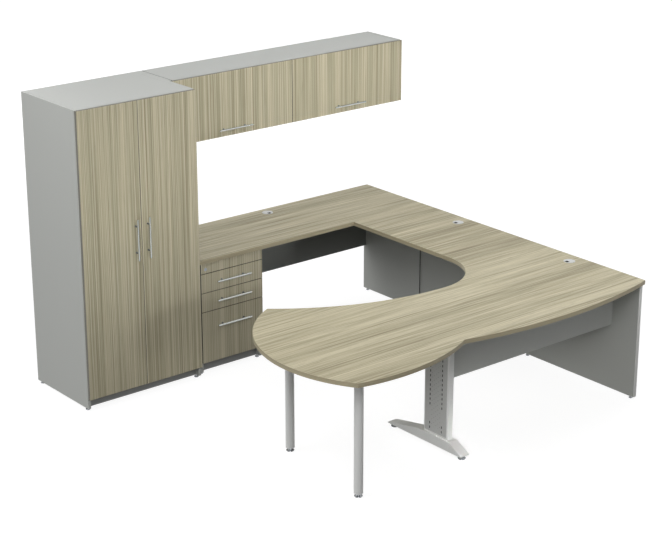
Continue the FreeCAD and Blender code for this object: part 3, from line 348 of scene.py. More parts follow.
# After the colour come the mottle's scale and amount, and the lowest and highest roughness.
GREY = mottled("grey_melamine", (187, 189, 185), 700.0, 0.05, 0.42, 0.52,
               worn=(206, 207, 204), Specular_IOR_Level=0.25)
GREY_STRIP = mottled("grey_edge_strip", (240, 241, 238), 400.0, 0.04, 0.4, 0.5,
                     worn=(200, 200, 196), Specular_IOR_Level=0.3)
# Painted shade: a darker grey melamine that stands in for the shadow in the credenza's knee hole.
MODESTY_SHADE_MELAMINE = mottled("melamine_painted_shade", (116, 118, 115), 700.0, 0.05, 0.46, 0.56,
                 worn=(135, 136, 133), Specular_IOR_Level=0.25)
# Painted shade: a dark grey that stands in for the shadow at the credenza gable's front edge and inside the
# grooves of the cabinet tops.
SEAM_SHADE = mottled("seam_painted_shade", (84, 85, 83), 500.0, 0.1, 0.5, 0.65, worn=(110, 110, 108))
# Painted shade: the plinth grey is darker than the carcass grey, standing in for the shadow under the doors.
PLINTH_SHADE_GREY = mottled("plinth_painted_shade", (140, 141, 139), 600.0, 0.08, 0.4, 0.55, worn=(165, 165, 163))
PAINT = mottled("silver_leg_paint", (240, 241, 239), 1400.0, 0.06, 0.34, 0.44,
                worn=(246, 246, 245), Specular_IOR_Level=0.4)
# Painted shade: a dark grey for the inside of the T-leg's column, standing in for the shadow behind the
# slots.
COLUMN_INSIDE_SHADE = mottled("column_inside_painted_shade", (58, 59, 60), 800.0, 0.12, 0.5, 0.65)
# Painted shade: a darker copy of the leg paint for the T-leg's cover, standing in for the shadow under the
# round worktop.
COVER_SHADE_PAINT = mottled("cover_paint_painted_shade", (206, 207, 205), 1400.0, 0.06, 0.36, 0.46, Specular_IOR_Level=0.4)
NICKEL = mottled("satin_nickel", (182, 186, 183), 1100.0, 0.08, 0.16, 0.28, Metallic=1.0)
# Painted shade: a darker nickel for the handle posts and collars, standing in for the shadow under the bar.
POST_SHADE_NICKEL = mottled("nickel_painted_shade", (128, 132, 134), 1100.0, 0.1, 0.3, 0.42, Metallic=1.0)
STEEL = mottled("plated_steel", (176, 178, 182), 500.0, 0.12, 0.3, 0.45, Metallic=1.0)
LOCK = mottled("lock_plating", (168, 176, 186), 900.0, 0.1, 0.25, 0.4, Metallic=1.0)
CHROME = mottled("polished_chrome", (168, 171, 175), 300.0, 0.04, 0.08, 0.16, Metallic=1.0)
# Black plastic for the glide pads, and painted shade in the grommets, standing in for the shadow in their
# slots.
BLACK_PAD_AND_SHADE = mottled("black_pad_and_painted_shade", (26, 26, 27), 500.0, 0.2, 0.5, 0.7)
SILVER = mottled("silver_grommet_plastic", (206, 207, 206), 800.0, 0.06, 0.34, 0.46, Metallic=0.4)
print("finishes:", MOTTLE.users)

# %% [markdown]
# ## Eased boards
# A board from the saw has edges sharp enough to cut, so every one is eased by half a millimetre or more,
# and that thin line catches the light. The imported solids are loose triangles, so a copy is welded and its
# flat faces are joined up before its sharp edges are bevelled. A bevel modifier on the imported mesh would
# bevel the triangles too. The broad faces get the board's finish and the narrow ones its edge strip.

# %% Eased boards
WELD = 1e-5
FLAT = math.radians(0.2)
SHARP = math.radians(30)
SMOOTH = math.radians(20)
EASE_STEPS = 2
BROAD, SQUARE, SLANT = 0.99, 0.9, 0.05
BACK_STEP = 0.5


def welded(node):
    shape = bmesh.new()
    shape.from_mesh(frame["nodes"][node].data)
    bmesh.ops.remove_doubles(shape, verts=shape.verts, dist=WELD)
    bmesh.ops.dissolve_limit(shape, angle_limit=FLAT, verts=shape.verts, edges=shape.edges)
    return shape


def plain_mesh(name, shape):
    mesh = bpy.data.meshes.new(name)
    shape.to_mesh(mesh)
    shape.free()
    return mesh


def eased_piece(name, node, finishes, width):
    """A welded copy of a node with its sharp edges bevelled."""
    shape = welded(node)
    sharp = [e for e in shape.edges if e.is_manifold and e.calc_face_angle() > SHARP]
    bmesh.ops.bevel(shape, geom=sharp, offset=width, segments=EASE_STEPS, profile=0.5, affect="EDGES",
                    clamp_overlap=True)
    bmesh.ops.recalc_face_normals(shape, faces=shape.faces)
    mesh = plain_mesh(name, shape)
    for finish in finishes:
        mesh.materials.append(finish)
    mesh.shade_smooth()
    mesh.set_sharp_from_angle(angle=SMOOTH)
    piece = bpy.data.objects.new(name, mesh)
    scene.collection.objects.link(piece)
    return piece


def settle(piece, body, slot, *nodes):
    """The piece moves with its body and stands for its solids, which are hidden. The slot is not used."""
    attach(piece, body)
    if nodes:
        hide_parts(*nodes)
    return piece


def body_of(node):
    return frame["nodes"][node]["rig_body"]


def thin_axis(node):
    low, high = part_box(node)
    return min("XYZ", key=lambda axis: (high - low).dot(AXES[axis]))


def mark_faces(mesh, thin, grain, number):
    """Gives each face its finish, and the grain and ease marks that the finishes read."""
    flow = mesh.attributes.new("grain", "FLOAT_VECTOR", "CORNER").data
    eased = mesh.attributes.new("eased", "FLOAT", "FACE").data
    thin = AXES[thin]
    for face in mesh.polygons:
        normal = face.normal
        broad = abs(normal.dot(thin)) > BROAD
        face.material_index = 0 if broad else 1
        slanted = not broad and abs(normal.dot(thin)) > SLANT
        eased[face.index].value = float(slanted or max(map(abs, normal)) < SQUARE)
        along = AXES[grain] if broad else thin.cross(normal).normalized()
        across = thin.cross(AXES[grain]) if broad else thin
        side = number if normal.dot(thin) > 0 else number + BACK_STEP
        for corner in face.loop_indices:
            spot = mesh.vertices[mesh.loops[corner].vertex_index].co
            flow[corner].vector = (spot.dot(along), spot.dot(across), side)


def board(node, slot, finishes, width, grain="Z", number=0.0, thin=None):
    piece = eased_piece(f"{node}_eased", node, finishes, width)
    mark_faces(piece.data, thin or thin_axis(node), grain, number)
    return settle(piece, body_of(node), slot, node)


print("edges eased in", EASE_STEPS, "steps")

# %% [markdown]
# ## Fronts and worktops
# These are the boards with the oak laminate. The fronts of the pedestal are cut from one sheet, so that the
# grain runs through all of them. Where two flaps or two drawers meet, both edge strips are painted shade:
# a near-black that stands in for the shadow in the gap, so that the gap between them reads as a clear line.

# %% Fronts and worktops
CABINET_FRONTS = ("left_door", "right_door", "left_flap", "right_flap")
PEDESTAL_FRONTS = ("pedestal_lock_rail", "top_drawer_front", "middle_drawer_front", "file_drawer_front")
WORKTOPS = ("credenza_top", "bridge_top", "desk_top")
BOARD_EASE, WORKTOP_EASE = 0.6 * MM, 1.2 * MM
FRONT_STEP, WORKTOP_START, WORKTOP_STEP = 1.3, 20, 1.7
# The narrow edges that look into a gap, as an axis and a way along it.
DRAWER_GAPS = (("Z", 1), ("Z", -1))
FLAP_GAPS = {"left_flap": (("X", 1),), "right_flap": (("X", -1),)}


def front(node, finish, number, gaps):
    mesh = board(node, "wood_laminate", (finish, FRONT_BAND), BOARD_EASE, "Z", number, "Y").data
    # The edges that look into a gap take the near-black strip, painted shade for the shadow in the gap.
    mesh.materials.append(GAP_SHADE_BAND)
    for face in mesh.polygons:
        if any(face.normal.dot(AXES[axis]) * way > SQUARE for axis, way in gaps):
            face.material_index = len(mesh.materials) - 1


for index, node in enumerate(CABINET_FRONTS):
    front(node, OAK, FRONT_STEP * index, FLAP_GAPS.get(node, ()))
for node in PEDESTAL_FRONTS:
    front(node, OAK_DRAWER, FRONT_STEP * len(CABINET_FRONTS), DRAWER_GAPS)
for index, node in enumerate(WORKTOPS):
    number = WORKTOP_START + WORKTOP_STEP * index
    board(node, "wood_laminate", (OAK_TOP, OAK_BAND), WORKTOP_EASE, "X", number, "Z")

# %% [markdown]
# ## Carcass boards
# Sides, shelves, backs, gables and modesty panels are plain boards of grey melamine, so the same helper
# makes them all. The desk's gable has a paler strip on its narrow edges. The credenza's gable has painted
# shade on its front edge, where the bridge meets it: a dark grey that stands in for the shadow there. The
# credenza's modesty panel has painted shade on the side of the knee hole: a darker grey that stands in for
# the shadow under the worktop. The tops of the cabinets have a groove along each end, and the inside of
# each groove has painted shade too, a dark grey that stands in for the shadow in it, so that it reads as
# the line between two boards.

# %% Carcass boards
GREY_BOARDS = [node for node in frame["nodes"] if node.startswith((
    "cabinet_", "overhead_", "credenza_gable", "credenza_modesty", "pedestal_", "bridge_panel",
    "desk_gable", "desk_modesty")) and node != "pedestal_lock_rail"]
GROOVED_TOPS = ("cabinet_top", "overhead_top")
GROOVE, GROOVE_SKIN = 5.2 * MM, 1 * MM
TRAY_EASE = 0.5 * MM
PIN_BORED = ("cabinet_left_side", "cabinet_right_side")
# The dark seam grey on the credenza gable and in the grooves of the cabinet tops is painted shade.
EDGES = {"desk_gable": GREY_STRIP, "credenza_gable": SEAM_SHADE, "cabinet_top": SEAM_SHADE, "overhead_top": SEAM_SHADE}
# The darker grey on the credenza's modesty panel is painted shade for the knee hole.
FACES = {"credenza_modesty": MODESTY_SHADE_MELAMINE}
for node in sorted(GREY_BOARDS):
    if node not in PIN_BORED:
        thin = "Z" if node == "cabinet_shelves" else None
        board(node, "grey_board", (FACES.get(node, GREY), EDGES.get(node, GREY)), BOARD_EASE, thin=thin)
for drawer in ("top_drawer", "middle_drawer", "file_drawer"):
    board(f"{drawer}_box", "grey_board", (GREY, GREY), TRAY_EASE)
# The plinths take the darker plinth grey, painted shade for the shadow under the doors.
board("plinths", "dark_board", (PLINTH_SHADE_GREY, PLINTH_SHADE_GREY), BOARD_EASE)
# The faces inside each groove take the dark seam grey: painted shade for the shadow in the groove.
for node in GROOVED_TOPS:
    low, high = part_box(node)
    mesh = bpy.data.objects[f"{node}_eased"].data
    for face in mesh.polygons:
        at_end = min(face.center.x - low.x, high.x - face.center.x) < GROOVE
        face.material_index = int(at_end and low.z + GROOVE_SKIN < face.center.z < high.z - GROOVE_SKIN)
# Painted shade: only the credenza gable's front edge, where the bridge meets it, takes the dark seam grey.
for face in bpy.data.objects["credenza_gable_eased"].data.polygons:
    face.material_index = int(face.normal.y < -SQUARE)
# Painted shade: only the modesty panel's front face, towards the knee hole, takes the darker grey.
for face in bpy.data.objects["credenza_modesty_eased"].data.polygons:
    face.material_index = int(face.normal.y > -SQUARE)
print("carcass boards:", len(GREY_BOARDS))

# %% [markdown]
# ## Metal legs
# The T-leg and the post legs are bent and welded steel under a silver powder coat. Their solids have the
# right form already, so they only need softened edges and smooth round walls. The inside of the T-leg's
# column is painted dark grey: painted shade that stands in for the shadow behind the slots of its cover.

# %% Metal legs
def softened(node, slot, finish, width):
    piece = eased_piece(f"{node}_softened", node, (finish,), width)
    return settle(piece, body_of(node), slot, node)


LEG_EASES = {"t_leg_column": 0.3 * MM, "t_leg_foot": 1.5 * MM, "post_legs": 0.5 * MM}
for node, width in LEG_EASES.items():
    softened(node, "leg_paint", PAINT, width)
column = bpy.data.objects["t_leg_column_softened"].data
# The faces inside the column take the dark grey, painted shade for the shadow in the column.
column.materials.append(COLUMN_INSIDE_SHADE)
low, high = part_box("t_leg_column")
SHEET = 1.9 * MM
for face in column.polygons:
    spot = face.center
    inset = min(spot.x - low.x, high.x - spot.x, spot.y - low.y, high.y - spot.y)
    outward = (spot - (low + high) / 2).dot(Vector((face.normal.x, face.normal.y, 0)))
    face.material_index = int(inset > SHEET and outward < 0)
print("column faces inside:", sum(face.material_index for face in column.polygons))

# %% [markdown]
# ## Grommets, lock and fittings
# The cable grommets are silver plastic outside. The walls in the cable slot and down through the worktop
# get a second finish, black: painted shade that stands in for the shadow inside the grommet. The lock, the
# hinges, the runners and the brackets are plated steel and only need their edges softened.

# %% Grommets, lock and fittings
GROMMET_EASE, LOCK_EASE, FITTING_EASE = 0.35 * MM, 0.25 * MM, 0.3 * MM
CAPS = [f"{name}_grommet_cap" for name in ("credenza", "bridge", "desk")]
CAP_CENTRES = [sum(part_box(node), Vector()) / 2 for node in CAPS]
FLANGE_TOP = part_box("grommet_rings")[1].z
LINER_REACH, FLANGE_SKIN = 31 * MM, 0.4 * MM
UPWARD = 0.4
for node in CAPS:
    cap = softened(node, "grommet_silver", SILVER, GROMMET_EASE).data
    # The cap's walls take the black, painted shade for the shadow in the cable slot.
    cap.materials.append(BLACK_PAD_AND_SHADE)
    for face in cap.polygons:
        face.material_index = int(face.normal.z < UPWARD)
rings = softened("grommet_rings", "grommet_silver", SILVER, GROMMET_EASE).data
# The ring's liner faces take the black, painted shade for the shadow down through the worktop.
rings.materials.append(BLACK_PAD_AND_SHADE)
for face in rings.polygons:
    reach = min((face.center - centre).to_2d().length for centre in CAP_CENTRES)
    face.material_index = int(reach < LINER_REACH and face.center.z < FLANGE_TOP - FLANGE_SKIN)
print("dark grommet faces:", sum(face.material_index for face in rings.polygons))
softened("drawer_lock", "lock_metal", LOCK, LOCK_EASE)
HINGE_CUPS = [f"{name}_hinge_cups" for name in CABINET_FRONTS]
for node in ("hinge_arms", "drawer_runners", "steel_brackets", *HINGE_CUPS):
    softened(node, "fitting_steel", STEEL, FITTING_EASE)

# %% [markdown]
# ## Growing pieces with Geometry Nodes
# Handles, screws, glides and perforations repeat, so each is one node tree with its sizes as inputs. A
# tree runs as a modifier on a holder, which may carry a mesh to work on or bare points to stand things on.
# The result is then kept as a plain mesh, because instances and live trees don't survive an export.

# %% Growing pieces with Geometry Nodes
def geometry_tree(name, *inputs):
    start = (("Geometry", "Geometry", None), *inputs, ("Finish", "Material", None))
    return new_tree(name, "GeometryNodeTree", start, (("Geometry", "Geometry"),))


def close_tree(tree, source, geometry, accent=None):
    """Ends a tree. An accent is the faces that take the tree's second finish."""
    whole = add(tree, "GeometryNodeRealizeInstances", {"Geometry": geometry}).outputs[0]
    values = {"Geometry": whole, "Material": source["Finish"]}
    painted = add(tree, "GeometryNodeSetMaterial", values).outputs[0]
    if accent is not None:
        values = {"Geometry": painted, "Selection": accent, "Material": source["Accent"]}
        painted = add(tree, "GeometryNodeSetMaterial", values).outputs[0]
    add(tree, "NodeGroupOutput", {"Geometry": painted})
    return tree


def grow(name, tree, mesh, finish, **sizes):
    holder = bpy.data.objects.new(name, mesh)
    scene.collection.objects.link(holder)
    modifier = holder.modifiers.new("grow", "NODES")
    modifier.node_group = tree
    values = {label.replace("_", " "): value for label, value in sizes.items()} | {"Finish": finish}
    for item in tree.interface.items_tree:
        if item.in_out == "INPUT" and item.name in values:
            modifier[item.identifier] = values[item.name]
    graph = bpy.context.evaluated_depsgraph_get()
    result = bpy.data.meshes.new_from_object(holder.evaluated_get(graph), depsgraph=graph)
    holder.modifiers.remove(modifier)
    holder.data = result
    result.shade_smooth()
    result.set_sharp_from_angle(angle=SMOOTH)
    return holder


print("tree helpers ready")

# %% [markdown]
# ## Bar handles
# A bar handle is a turned bar on two posts, each with a small collar against the front. The tree makes
# the bar with chamfered ends, unites it with its posts and collars, and turns the whole to lie along a
# drawer or stand on a door. Seven handles come from it, each on its own front's body.

# %% Bar handles
QUARTER = math.pi / 2
BAR_SIDES, BAR_RINGS, POST_SIDES = 28, 2, 20
INNER_RING, BETWEEN_RINGS = 0.5, 0.75
COLLAR_SHARE = 0.75
JUST_OUTSIDE = 1.02


def bar_handle_tree():
    tree, source = geometry_tree(
        "bar_handle",
        ("Length", "Float", 0.25), ("Bar", "Float", 0.011), ("Post", "Float", 0.008),
        ("Spacing", "Float", 0.16), ("Reach", "Float", 0.0265), ("Tip", "Float", 0.001),
        ("Collar", "Float", 0.002), ("Centre", "Vector", None), ("Turn", "Vector", None),
        ("Accent", "Material", None),
    )
    radius = times(tree, source["Bar"], 0.5)
    rod = add(tree, "GeometryNodeMeshCylinder", {
        "Vertices": BAR_SIDES, "Fill Segments": BAR_RINGS, "Radius": radius, "Depth": source["Length"],
    }).outputs["Mesh"]
    place = add(tree, "GeometryNodeInputPosition").outputs[0]
    x, y, z = split(tree, place)
    spread = vector(tree, "LENGTH", join(tree, x, y))["Value"]
    outer = calc(tree, "GREATER_THAN", spread, times(tree, radius, BETWEEN_RINGS))
    end_radius = calc(tree, "SUBTRACT", radius, source["Tip"])
    tip_share = calc(tree, "DIVIDE", end_radius, times(tree, radius, INNER_RING))
    widen = calc(tree, "ADD", outer, times(tree, calc(tree, "SUBTRACT", 1.0, outer), tip_share))
    inset = times(tree, times(tree, calc(tree, "SIGN", z), source["Tip"]), outer)
    moved = join(tree, times(tree, x, widen), times(tree, y, widen),
                 calc(tree, "SUBTRACT", z, inset))
    rod = add(tree, "GeometryNodeSetPosition", {"Geometry": rod, "Position": moved}).outputs[0]
    lying = {"Geometry": rod, "Rotation": (0, QUARTER, 0)}
    parts = [add(tree, "GeometryNodeTransform", lying).outputs[0]]
    post_radius = times(tree, source["Post"], 0.5)
    collar_radius = times(tree, source["Post"], COLLAR_SHARE)
    collar_middle = calc(tree, "SUBTRACT", source["Reach"], times(tree, source["Collar"], 0.5))
    # A post ends inside its collar, because two ends in one plane would leave the union open.
    for wide, long, middle in (
        (post_radius, collar_middle, times(tree, collar_middle, 0.5)),
        (collar_radius, source["Collar"], collar_middle),
    ):
        for side in (-0.5, 0.5):
            sizes = {"Vertices": POST_SIDES, "Radius": wide, "Depth": long}
            stub = add(tree, "GeometryNodeMeshCylinder", sizes).outputs["Mesh"]
            spot = join(tree, times(tree, source["Spacing"], side), middle)
            stood = {"Geometry": stub, "Translation": spot, "Rotation": (QUARTER, 0, 0)}
            parts.append(add(tree, "GeometryNodeTransform", stood).outputs[0])
    union = add(tree, "GeometryNodeMeshBoolean", operation="UNION")
    for part in parts:
        tree.links.new(part, union.inputs["Mesh 2"])
    turned = add(tree, "GeometryNodeTransform", {
        "Geometry": union.outputs["Mesh"], "Translation": source["Centre"], "Rotation": source["Turn"],
    })
    behind = split(tree, vector(tree, "SUBTRACT", place, source["Centre"])[0])["Y"]
    posts = calc(tree, "GREATER_THAN", behind, times(tree, radius, JUST_OUTSIDE))
    return close_tree(tree, source, turned.outputs[0], posts)


HANDLE = bar_handle_tree()
HANDLES = [node for node in frame["nodes"] if node.endswith("_handle")]
for node in sorted(HANDLES):
    low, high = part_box(node)
    span = high - low
    upright = span.z > span.x
    bar = min(span.x, span.z)
    middle = (low + high) / 2
    centre = Vector((middle.x, low.y + bar / 2, middle.z))
    # The posts and collars take the darker nickel, painted shade for the shadow under the bar.
    piece = grow(
        f"{node}_bar", HANDLE, bpy.data.meshes.new(node), NICKEL,
        Length=max(span.x, span.z), Bar=bar, Reach=span.y - bar / 2,
        Centre=centre, Turn=(0, QUARTER if upright else 0, 0), Accent=POST_SHADE_NICKEL,
    )
    settle(piece, body_of(node), "handle_metal", node)
print("handles:", len(HANDLES), "faces each:", len(piece.data.polygons))

# %% [markdown]
# ## Perforated cover
# The T-leg's cover is pressed with a diamond of small round holes between its two rows of slots. They are
# a lattice of drills through a sheet that faces X: the tree lays out a grid, shifts every other column and
# cuts a cylinder at each point. The grid's height keeps the drills off the lines that the slots end on,
# because a cut along such a line would leave the sheet open.

# %% Perforated cover
def bored_lattice_tree():
    tree, source = geometry_tree(
        "bored_lattice",
        ("Columns", "Int", 5), ("Rows", "Int", 13), ("Column Pitch", "Float", 0.016),
        ("Row Pitch", "Float", 0.028), ("Stagger", "Float", 0.014), ("Drill", "Float", 0.004),
        ("Depth", "Float", 0.01), ("Sides", "Int", 12), ("Centre", "Vector", None),
    )

    def run(pitch, count):
        return times(tree, source[pitch], calc(tree, "SUBTRACT", source[count], 1.0))

    grid = add(tree, "GeometryNodeMeshGrid", {
        "Size X": run("Column Pitch", "Columns"), "Size Y": run("Row Pitch", "Rows"),
        "Vertices X": source["Columns"], "Vertices Y": source["Rows"],
    }).outputs["Mesh"]
    index = add(tree, "GeometryNodeInputIndex").outputs[0]
    column = calc(tree, "FLOOR", calc(tree, "DIVIDE", calc(tree, "ADD", index, 0.5), source["Rows"]))
    shift = times(tree, calc(tree, "MODULO", column, 2.0), source["Stagger"])
    x, y, z = split(tree, add(tree, "GeometryNodeInputPosition").outputs[0])
    upright = join(tree, y=x, z=calc(tree, "SUBTRACT", y, shift))
    spot = vector(tree, "ADD", upright, source["Centre"])[0]
    points = add(tree, "GeometryNodeSetPosition", {"Geometry": grid, "Position": spot}).outputs[0]
    drill = add(tree, "GeometryNodeMeshCylinder", {
        "Vertices": source["Sides"], "Depth": source["Depth"],
        "Radius": times(tree, source["Drill"], 0.5),
    }).outputs["Mesh"]
    lying = {"Geometry": drill, "Rotation": (0, QUARTER, 0)}
    drill = add(tree, "GeometryNodeTransform", lying).outputs[0]
    drills = add(tree, "GeometryNodeInstanceOnPoints", {"Points": points, "Instance": drill}).outputs[0]
    drills = add(tree, "GeometryNodeRealizeInstances", {"Geometry": drills}).outputs[0]
    meshes = {"Mesh 1": source["Geometry"], "Mesh 2": drills}
    bored = add(tree, "GeometryNodeMeshBoolean", meshes, operation="DIFFERENCE")
    return close_tree(tree, source, bored.outputs["Mesh"])


LATTICE = bored_lattice_tree()
COVER_ROWS, COVER_MIDDLE = 21, 415.6 * MM
low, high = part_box("t_leg_cover")
centre = ((low.x + high.x) / 2, (low.y + high.y) / 2, COVER_MIDDLE)
plate = plain_mesh("t_leg_cover", welded("t_leg_cover"))
# The cover takes the darker copy of the leg paint, painted shade for the shadow under the round worktop.
cover = grow("t_leg_cover_perforated", LATTICE, plate, COVER_SHADE_PAINT, Rows=COVER_ROWS, Centre=centre)
settle(cover, "root", "leg_paint", "t_leg_cover")
print("cover faces:", len(cover.data.polygons))

# %% [markdown]
# ## Shelf pin holes
# The sides of the tall cabinet are bored with two rows of blind holes each, so that a shelf can be moved.
# The rows are measured from the shelves: a pin stands under each of them, and the pitch divides the height
# between two shelves evenly. The lattice tree bores these too, with no shift between the columns.

# %% Shelf pin holes
def islands(node):
    """The middle and size of each separate solid of a node."""
    shape = welded(node)
    found = []
    left = set(shape.verts)
    while left:
        stack = [left.pop()]
        spots = []
        while stack:
            vertex = stack.pop()
            spots.append(vertex.co.copy())
            for edge in vertex.link_edges:
                other = edge.other_vert(vertex)
                if other in left:
                    left.remove(other)
                    stack.append(other)
        low = Vector(map(min, *spots))
        high = Vector(map(max, *spots))
        found.append(((low + high) / 2, high - low))
    shape.free()
    return sorted(found, key=lambda item: tuple(item[0]))


SHELVES = islands("cabinet_shelves")
PIN_SIZE = 5 * MM
PIN_LEVELS = [spot.z - span.z / 2 - PIN_SIZE / 2 for spot, span in SHELVES]
HOLES_BETWEEN, HOLES_BEYOND = 11, 3
PIN_PITCH = (PIN_LEVELS[-1] - PIN_LEVELS[0]) / (len(SHELVES) - 1) / HOLES_BETWEEN
PIN_ROWS = (len(SHELVES) - 1) * HOLES_BETWEEN + 2 * HOLES_BEYOND + 1
PIN_FRONT, PIN_BACK, PIN_DRILL = 110 * MM, 60 * MM, 20 * MM
PIN_SPOTS = []
for node in PIN_BORED:
    low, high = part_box(node)
    blank = eased_piece(node, node, (GREY, GREY), BOARD_EASE)
    mark_faces(blank.data, "X", "Z", 0.0)
    on_left = node == "cabinet_left_side"
    inner, inward = (high.x, X) if on_left else (low.x, -X)
    columns = (low.y + PIN_FRONT, high.y - PIN_BACK)
    piece = grow(
        f"{node}_bored", LATTICE, blank.data, GREY, Columns=len(columns), Rows=PIN_ROWS,
        Column_Pitch=columns[1] - columns[0], Row_Pitch=PIN_PITCH, Stagger=0.0, Drill=PIN_SIZE,
        Depth=PIN_DRILL, Centre=(inner, sum(columns) / 2, (PIN_LEVELS[0] + PIN_LEVELS[-1]) / 2),
    )
    PIN_SPOTS += [((inner, y, z), inward) for y in columns for z in PIN_LEVELS]
    bpy.data.objects.remove(blank)
    settle(piece, "root", "grey_board", node)
    print(node, "faces:", len(piece.data.polygons))

# %% [markdown]
# ## Levelling glides
# Every foot of the set ends in a screw-in glide. Those under the boards are chromed discs on a stem, and
# those under the metal legs are bell-shaped with a dark ring. A glide is a turned piece, so its profile is
# spun once, and a tree stands a copy on every point, each pointing the way that its point says.

# %% Levelling glides
def turned(name, profile, steps=24):
    """A closed solid of revolution about Z. The profile is radius and height pairs, from axis to axis."""
    shape = bmesh.new()
    rings = []
    for radius, height in profile:
        count = steps if radius > 0 else 1
        angles = [math.tau * step / count for step in range(count)]
        circle = [(radius * math.cos(angle), radius * math.sin(angle), height) for angle in angles]
        rings.append([shape.verts.new(spot) for spot in circle])
    for lower, upper in zip(rings, rings[1:]):
        for step in range(steps):
            corners = [lower[step % len(lower)], lower[(step + 1) % len(lower)],
                       upper[(step + 1) % len(upper)], upper[step % len(upper)]]
            shape.faces.new(dict.fromkeys(corners))
    bmesh.ops.recalc_face_normals(shape, faces=shape.faces)
    return plain_mesh(name, shape)


def fitting_tree():
    tree, source = geometry_tree("fittings_on_points", ("Template", "Object", None))
    model = add(tree, "GeometryNodeObjectInfo", {"Object": source["Template"]}).outputs["Geometry"]
    aim = add(tree, "GeometryNodeInputNamedAttribute", {"Name": "aim"}, data_type="FLOAT_VECTOR").outputs[0]
    turn = add(tree, "FunctionNodeAlignRotationToVector", {"Vector": aim}, axis="Z").outputs[0]
    values = {"Points": source["Geometry"], "Instance": model, "Rotation": turn}
    copies = add(tree, "GeometryNodeInstanceOnPoints", values).outputs[0]
    return close_tree(tree, source, copies)


FITTINGS = fitting_tree()


def stand(name, model, places, finish):
    """Copies of a model on points, each a place and the way that the copy's Z axis points."""
    points = bpy.data.meshes.new(f"{name}_points")
    points.from_pydata([place for place, aim in places], [], [])
    aims = points.attributes.new("aim", "FLOAT_VECTOR", "POINT").data
    for mark, (place, aim) in zip(aims, places):
        mark.vector = aim
    template = bpy.data.objects.new(f"{name}_template", model)
    scene.collection.objects.link(template)
    piece = grow(name, FITTINGS, points, finish, Template=template)
    bpy.data.objects.remove(template)
    return piece


GLIDES = islands("levelling_glides")
BOARD_GLIDE, GABLE_GLIDE, BELL_GLIDE = 28, 24, 46
WIDTH_MATCH = 0.5 * MM


def glide_spots(width):
    return [((spot.x, spot.y, 0), Z) for spot, span in GLIDES if abs(span.x - width) < WIDTH_MATCH]


def profile(*pairs):
    return [(radius * MM, height * MM) for radius, height in pairs]


def disc_glide(radius):
    return profile((0, 1), (radius - 1.2, 1), (radius - 0.3, 1.3), (radius, 2.2), (radius, 5),
                   (radius - 0.8, 6), (8, 6), (6, 7.5), (6, 15), (0, 15))


BELL = profile((0, 3.4), (20, 3.4), (22.4, 3.6), (22.8, 4.4), (22, 5.6), (19, 7.6), (16, 10.2), (14, 13),
               (13, 16), (13, 20), (0, 20))
for name, width, outline in (
    ("board_glides", BOARD_GLIDE, disc_glide(BOARD_GLIDE / 2)),
    ("gable_glides", GABLE_GLIDE, disc_glide(GABLE_GLIDE / 2)),
    ("bell_glides", BELL_GLIDE, BELL),
):
    piece = stand(name, turned(name, outline), glide_spots(width * MM), CHROME)
    settle(piece, "root", "glide_chrome", "levelling_glides")
for name, width, radius, top in (
    ("board_pads", BOARD_GLIDE, 12.6, 1.4),
    ("gable_pads", GABLE_GLIDE, 10.6, 1.4),
    ("bell_pads", BELL_GLIDE, 21.5, 3.8),
):
    pad = profile((0, 0), (radius - 0.6, 0), (radius, 0.5), (radius, top), (0, top))
    piece = stand(name, turned(name, pad), glide_spots(width * MM), BLACK_PAD_AND_SHADE)
    settle(piece, "root", "glide_chrome")
print("glides:", len(GLIDES))

# %% [markdown]
# ## Screw heads
# The fittings are held by cross-headed screws. A sphere with a bump for its cross would look flat from the
# side, so a head is stacked from rings: three round ones and then two crosses, the second one sunk. There
# are more than a hundred of them, so each has only a few dozen faces.

# %% Screw heads
SLOT_REACH, SLOT_HALF = 0.55, 0.14
HEAD_RADIUS, HEAD_HEIGHT = 3.5 * MM, 1.6 * MM


def screw_head(radius, height):
    shape = bmesh.new()
    circle = [(math.cos(math.radians(a)), math.sin(math.radians(a))) for a in range(-15, 345, 30)]
    corners = ((SLOT_REACH, -SLOT_HALF), (SLOT_REACH, SLOT_HALF), (SLOT_HALF, SLOT_HALF))
    slot = [Vector((x, y, 0)) for x, y in corners]
    quarters = [Matrix.Rotation(math.radians(turn), 3, "Z") for turn in (0, 90, 180, 270)]
    cross = [tuple(quarter @ corner)[:2] for quarter in quarters for corner in slot]
    # Each ring is an outline, its width and its level.
    stack = ((circle, 1, 0), (circle, 1, 0.4), (circle, 0.72, 1), (cross, 1, 1), (cross, 0.8, 0.3))
    rings = [[shape.verts.new((x * radius * wide, y * radius * wide, height * level)) for x, y in outline]
             for outline, wide, level in stack]
    for lower, upper in zip(rings, rings[1:]):
        for step in range(len(circle)):
            shape.faces.new((lower[step - 1], lower[step], upper[step], upper[step - 1]))
    shape.faces.new(rings[0])
    shape.faces.new(rings[-1])
    bmesh.ops.recalc_face_normals(shape, faces=shape.faces)
    return plain_mesh("screw_head", shape)


HEAD = screw_head(HEAD_RADIUS, HEAD_HEIGHT)
print("faces of a screw head:", len(HEAD.polygons))

# %% [markdown]
# ## Screws and shelf pins
# Screws hold the hinges, the steel angles, the joint plates and the flanges of the post legs, and the
# shelves lie on pins in the bored rows. Each place is worked out from the solid that the screw holds, so
# that none has to be typed in.

